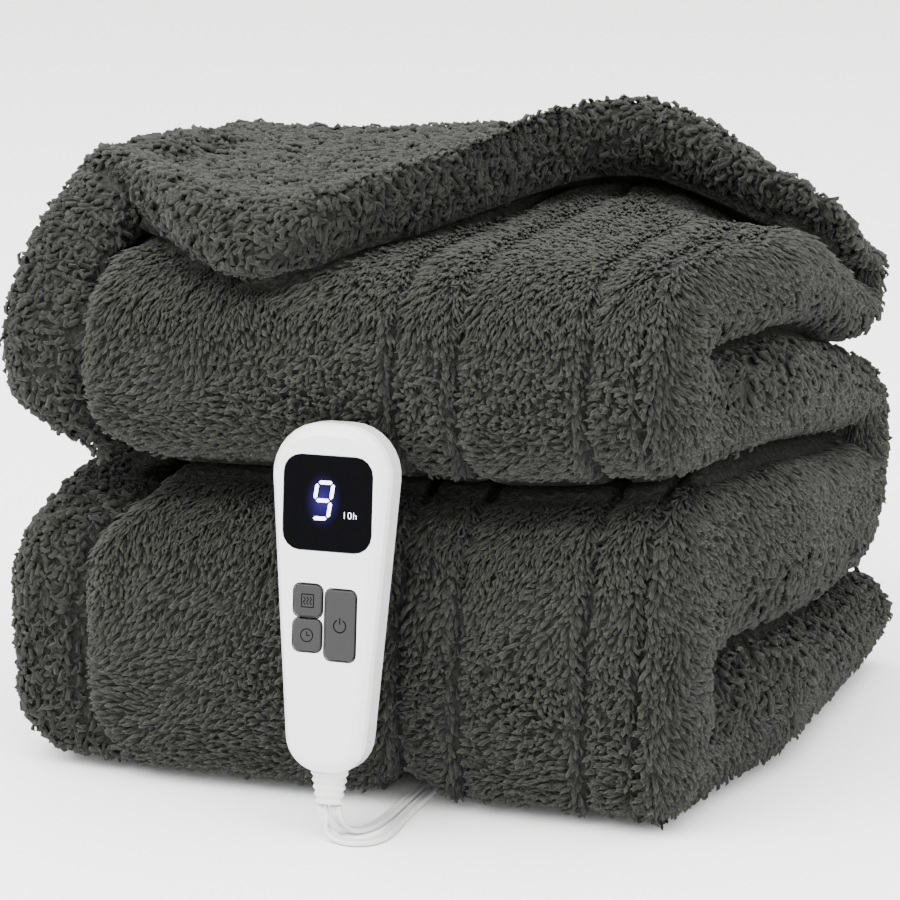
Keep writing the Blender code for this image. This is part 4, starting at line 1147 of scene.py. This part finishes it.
class HandsetLooks(bpy.types.PropertyGroup):
    shell_colour: tint("Shell", "Colour of the shells", 0.67, 0.67, 0.67)
    key_colour: tint("Keys", "Colour of the keys", 0.018, 0.018, 0.018)
    digit_colour: tint("Digits", "Colour of the lit segments", 0.86, 0.86, 1.0)
    digit_light: brightness("Digit light", "Brightness of the lit segments", 3.0)


class LeadLooks(bpy.types.PropertyGroup):
    lead_colour: tint("Leads", "Colour of leads, plug and connector", 0.6, 0.6, 0.592)


class StudioLooks(bpy.types.PropertyGroup):
    floor_colour: tint("Floor", "Colour of the floor", 0.94, 0.94, 0.94)
    fill: brightness("Fill", "Brightness of the surroundings", 2.65)
    key_power: brightness("Key light", "Power of the large light above the front left", 72.0)
    top_power: brightness("Top light", "Power of the broad light overhead", 140.0)
    strip_power: brightness("Strip light", "Power of the narrow light at the right", 11.0)


# ---------------------------------------------------------------- operators
class THROW_OT_camera(bpy.types.Operator):
    """Place the camera at the photograph's viewing angle"""

    bl_idname = "throw.camera"
    bl_label = "Camera"

    def execute(self, context):
        data = bpy.data.cameras.new("camera")
        data.lens, data.sensor_width = CAMERA_LENS, 36
        data.shift_x, data.shift_y = CAMERA_SHIFT
        data.clip_start, data.clip_end = 0.01, 50
        camera = linked("camera", data)
        camera.location = CAMERA_PLACE
        camera.rotation_euler = [math.radians(angle) for angle in CAMERA_TURN]
        context.scene.camera = camera
        return {"FINISHED"}


class THROW_OT_leads(bpy.types.Operator):
    """Lay the two flat leads, from the handset under the throw to their coils, plug and connector"""

    bl_idname = "throw.leads"
    bl_label = "Leads"

    def execute(self, context):
        colour = context.scene.lead_looks.lead_colour
        flex = plastic("flex", colour, 0.4, 0.3, coat_weight=0.1)
        moulded = plastic("moulding", colour, 0.42, 0.35)
        plated, shader = surface("plated blade", (0.6, 0.57, 0.5), 0.28, metallic=1.0)
        bumped(plated.node_tree, shader, noise(plated.node_tree, 900, 2, 0.6, (1, 12, 12)), 0.15, 0.05 * MM)
        for name, route, coil, tail, far_end, carried in LEADS:
            line = lead_line(route, coil, tail)
            piece = flat_lead(name + "_flex", line)
            dress_piece(piece, flex, "throw")
            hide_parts(name + "_lead", name + "_coil", name + "_tail")
        for name in ("plug_relief", "plug_body", "connector_relief", "connector", "inlet", "handset_relief"):
            dress_node(name, moulded)
        for name in ("plug_blade_left", "plug_blade_right"):
            dress_node(name, plated)
        return {"FINISHED"}


class THROW_OT_cloth(bpy.types.Operator):
    """Make the folded cloth, its long combed pile and its short curly pile"""

    bl_idname = "throw.cloth"
    bl_label = "Cloth and pile"

    def execute(self, context):
        looks = context.scene.pile_looks
        # the third value is the share of colour left at a tuft's root, as painted shade
        combed = pile_material("combed pile", looks.combed_colour, 0.2, 0.36)
        curled = pile_material("curly pile", looks.curly_colour, 0.28, 0.36)
        points, fields = cloth_grid(cloth_columns(), RUN_STEPS, FOLD_STEPS, FLAP_STEPS)
        normals = grid_normals(points)
        roll = shoulder_grid(ROLL_STEPS, ROLL_STEPS)
        roll_normals = grid_normals(roll)
        trees = [skin_tree(points, normals), skin_tree(roll, roll_normals)]
        buried = within(trees[1], points)
        free = np.where(buried, 0, openness(points, normals, trees))
        roll_free = openness(roll, roll_normals, trees)

        # the ground lies a root's depth down, and bulges a little where it is shut in between two layers
        shut = np.where(buried, 0, 1 - smooth(free / 0.15))[..., None]
        shut = shut * smooth((points[..., 2:] / MM - 5) / 5)
        depth = looks.root_depth * (1 - shut) - SHUT_BULGE * shut
        self.ground("throw_ground", points - normals * depth, "blanket")
        self.ground("throw_margin", roll - roll_normals * looks.root_depth)

        made = []
        for seed, (name, rows) in enumerate(zip(PILE_REGIONS, np.array_split(np.arange(len(points)), 6))):
            rows = np.arange(rows[0], min(rows[-1] + 2, len(points)))
            part = {key: value[rows] for key, value in fields.items()}
            made += build_pile(points[rows], normals[rows], free[rows], part, looks, seed + 1, name)
        plain = np.ones(roll.shape[:2])
        roll_fields = dict(curly=plain, seamed=0 * plain, high=0.5 * plain, x=0 * plain)
        made += build_pile(roll, roll_normals, roll_free, roll_fields, looks, 17, "margin")
        for piece, curly in made:
            dress_piece(piece, curled if curly else combed, "throw")
        return {"FINISHED"}

    def ground(self, name, rings, *replaced):
        """The cloth's woven ground, from which the pile stands."""
        rings[..., 2] = np.maximum(rings[..., 2], 0.2 * MM)
        piece = lofted_object(name, rings)
        dress_piece(piece, ground_material(), "throw")
        if replaced:
            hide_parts(*replaced)


class THROW_OT_handset(bpy.types.Operator):
    """Finish the handset: its shells, keys, window, lit digits and key symbols"""

    bl_idname = "throw.handset"
    bl_label = "Handset"

    def execute(self, context):
        looks = context.scene.handset_looks
        shell = plastic("white shell", looks.shell_colour, 0.26, 0.06, coat_weight=0.35, coat_roughness=0.12)
        grey = plastic("grey key", looks.key_colour, 0.5, 0.25, specular_ior_level=0.25)
        for name in ("handset_front", "handset_back"):
            dress_node(name, shell)
        for name in KEYS:
            dress_node(name, grey)
        dress_node("display_window", self.window_material())

        lit, shader = surface("lit segments", (0.8, 0.8, 1.0), 0.4, emission_strength=looks.digit_light)
        shader.inputs["Emission Color"].default_value = (*looks.digit_colour, 1)
        ink_and_gap_shade, _ = surface("key ink", (0.002, 0.002, 0.002), 0.7, specular_ior_level=0.05)

        low = FACE + 0.02 * MM
        dress_piece(plates("display_digit", self.digit(), low, FACE + 0.07 * MM), lit, "throw")
        dress_piece(self.hours(low), lit, "throw")

        top = FACE + KEY_PROUD
        rims = []
        for name, symbol in (("key_heat", self.heat), ("key_timer", self.clock), ("key_power", self.power)):
            body, x, y, wide, tall = KEYS[name]
            printed = plates(name + "_symbol", moved(symbol(), x, y), top + 0.01 * MM, top + 0.05 * MM)
            dress_piece(printed, ink_and_gap_shade, body)
            rims += moved(self.rim(wide, tall), x, y)
        # the rims are painted shade in the gaps round the keys, in the same dark material as the printed
        # symbols
        dress_piece(plates("key_rims", rims, FACE + 0.01 * MM, FACE + 0.04 * MM), ink_and_gap_shade, "throw")
        return {"FINISHED"}

    def rim(self, wide, tall):
        """The dark line round a key's pocket, painted shade of the gap round the key, in a right and a left
        half.
        """
        x, y = wide / 2 + RIM_OUT, tall / 2 + RIM_OUT
        inner_x, inner_y = x - RIM_ROUND, y - RIM_ROUND
        low = arc((inner_x, -inner_y), RIM_ROUND, -90, 0, 7)
        high = arc((inner_x, inner_y), RIM_ROUND, 0, 90, 7)
        half = np.vstack([[(0, -y)], low, high, [(0, y)]])
        return [stroke(half, RIM_WIDTH), stroke(half * (-1, 1), RIM_WIDTH)]

    def window_material(self):
        """Black gloss, with the digits' violet glow fading outwards from them."""
        made, shader = surface(
            "display window", (0.0015, 0.0015, 0.002), 0.08, specular_ior_level=0.02, emission_strength=1.0
        )
        tree = made.node_tree
        place = tree.nodes.new("ShaderNodeTexCoord").outputs["Object"]
        centre = handset_matrix() @ Vector((*DIGIT_MIDDLE, FACE))
        apart = vector_node(tree, "SUBTRACT", place, centre)[0]
        scaled = vector_node(tree, "MULTIPLY", apart, (1 / GLOW_REACH[0], 0, 1 / GLOW_REACH[1]))[0]
        reach = vector_node(tree, "LENGTH", scaled)["Value"]
        fall = math_node(tree, "POWER", math_node(tree, "SUBTRACT", 1.0, reach, clamp=True), 1.6)
        colour = mixed(tree, fall, (0, 0, 0, 1), (0.07, 0.04, 0.42, 1))
        tree.links.new(colour, shader.inputs["Emission Color"])
        return made

    def digit(self):
        """A nine of seven segments, six of them lit, leaning a little to the right."""
        half, tall, gap = DIGIT_HALF_WIDE, DIGIT_HALF_TALL, SEGMENT_GAP
        ends = [((-half + gap, y), (half - gap, y)) for y in (tall, -tall, 0)]
        ends += [((x, tall - gap), (x, gap)) for x in (half, -half)] + [((half, -gap), (half, -tall + gap))]
        outlines = []
        for start, end in ends:
            outline = np.array(bar(start, end, SEGMENT_WIDTH))
            outline[:, 0] += DIGIT_SLANT * outline[:, 1]
            outlines.append((outline + DIGIT_MIDDLE).tolist())
        return outlines

    def hours(self, low):
        """The hours left, in small plain figures beside the digit."""
        data = bpy.data.curves.new("display_hours", "FONT")
        data.body = "10h"
        data.size = HOURS_TALL
        data.align_x, data.align_y = "CENTER", "CENTER"
        data.extrude = 0.02 * MM
        data.offset = -0.08 * MM
        data.space_character = 1.12
        text = linked("display_hours", data)
        context = bpy.context
        context.view_layer.update()
        mesh = bpy.data.meshes.new_from_object(text.evaluated_get(context.evaluated_depsgraph_get()))
        bpy.data.objects.remove(text, do_unlink=True)
        mesh.transform(handset_matrix() @ Matrix.Translation((*HOURS_MIDDLE, low + 0.02 * MM)))
        return linked("display_hours", mesh)

    def heat(self):
        """A panel with three rising waves."""
        half = SYMBOL_HALF
        corner = np.array([(-half, -half), (half, -half), (half, half), (-half, half), (-half, -half)])
        outlines = [stroke(corner[k : k + 2], 0.4 * MM) for k in range(4)]
        y = np.linspace(-1.6 * MM, 1.6 * MM, 13)
        for x in (-1.3 * MM, 0, 1.3 * MM):
            wave = np.stack([x + 0.34 * MM * np.sin(y / MM * 2.9), y], -1)
            outlines.append(stroke(wave, 0.36 * MM))
        return outlines

    def clock(self):
        """A clock face with two hands."""
        outlines = [stroke(arc((0, 0), SYMBOL_HALF, start, start + 180), 0.42 * MM) for start in (0, 180)]
        outlines.append(stroke([(0, 1.5 * MM), (0, 0.0)], 0.4 * MM))
        outlines.append(stroke([(-0.2 * MM, 0), (1.3 * MM, 0)], 0.4 * MM))
        return outlines

    def power(self):
        """An open circle with a bar in its gap."""
        ring = arc((0, -0.2 * MM), SYMBOL_HALF, 118, 422, 28)
        return [stroke(ring, 0.5 * MM), stroke([(0, 0.4 * MM), (0, 3.0 * MM)], 0.5 * MM)]


class THROW_OT_studio(bpy.types.Operator):
    """Lay the pale floor and set the soft studio lights"""

    bl_idname = "throw.studio"
    bl_label = "Studio"

    def execute(self, context):
        looks = context.scene.studio_looks
        x, y = np.meshgrid(*2 * [np.linspace(-FLOOR_HALF, FLOOR_HALF, 5)], indexing="ij")
        ids = np.arange(x.size).reshape(x.shape)
        faces = np.stack([ids[:-1, :-1], ids[1:, :-1], ids[1:, 1:], ids[:-1, 1:]], -1).reshape(-1, 4)
        floor = mesh_object("floor", np.stack([x, y, np.zeros_like(x)], -1).reshape(-1, 3), faces, False)
        dress(floor, surface("pale floor", looks.floor_colour, 0.6, specular_ior_level=0.2)[0])

        world = bpy.data.worlds.new("studio")
        world.use_nodes = True
        background = world.node_tree.nodes["Background"]
        background.inputs["Color"].default_value = (1, 1, 1, 1)
        background.inputs["Strength"].default_value = looks.fill
        context.scene.world = world
        for name, (place, extent) in LAMPS.items():
            self.lamp(name + "_light", place, extent, getattr(looks, name + "_power"))
        return {"FINISHED"}

    def lamp(self, name, place, extent, power):
        """A rectangular light that looks at the foot of the throw."""
        data = bpy.data.lights.new(name, "AREA")
        data.shape = "RECTANGLE"
        data.size, data.size_y = extent
        data.energy = power
        lamp = linked(name, data)
        lamp.location = place
        towards = Vector((0, 0, 0.1)) - Vector(place)
        lamp.rotation_euler = towards.to_track_quat("-Z", "Y").to_euler()


class THROW_PT_panel(bpy.types.Panel):
    """The throw's pieces, in the order in which they are made"""

    bl_idname = "THROW_PT_panel"
    bl_label = "Heated throw"
    bl_space_type = "VIEW_3D"
    bl_region_type = "UI"
    bl_category = "Heated throw"

    def draw(self, context):
        for name in OPERATORS:
            self.layout.operator(name)
        for label in LOOKS:
            group = getattr(context.scene, label)
            box = self.layout.box()
            for field in group.__annotations__:
                box.prop(group, field)


CLASSES = (
    PileLooks,
    HandsetLooks,
    LeadLooks,
    StudioLooks,
    THROW_OT_camera,
    THROW_OT_leads,
    THROW_OT_cloth,
    THROW_OT_handset,
    THROW_OT_studio,
    THROW_PT_panel,
)
OPERATORS = ("throw.camera", "throw.leads", "throw.cloth", "throw.handset", "throw.studio")
LOOKS = {
    "pile_looks": PileLooks,
    "handset_looks": HandsetLooks,
    "lead_looks": LeadLooks,
    "studio_looks": StudioLooks,
}


def register():
    for item in CLASSES:
        bpy.utils.register_class(item)
    for name, group in LOOKS.items():
        setattr(bpy.types.Scene, name, PointerProperty(type=group))


def unregister():
    for name in LOOKS:
        delattr(bpy.types.Scene, name)
    for item in reversed(CLASSES):
        bpy.utils.unregister_class(item)


def main():
    register()
    for obj in [o for o in bpy.data.objects if o.type in ("CAMERA", "LIGHT")]:
        bpy.data.objects.remove(obj, do_unlink=True)
    bpy.ops.throw.camera()
    bpy.ops.throw.leads()
    bpy.ops.throw.cloth()
    bpy.ops.throw.handset()
    bpy.ops.throw.studio()


if __name__ == "__main__":
    main()
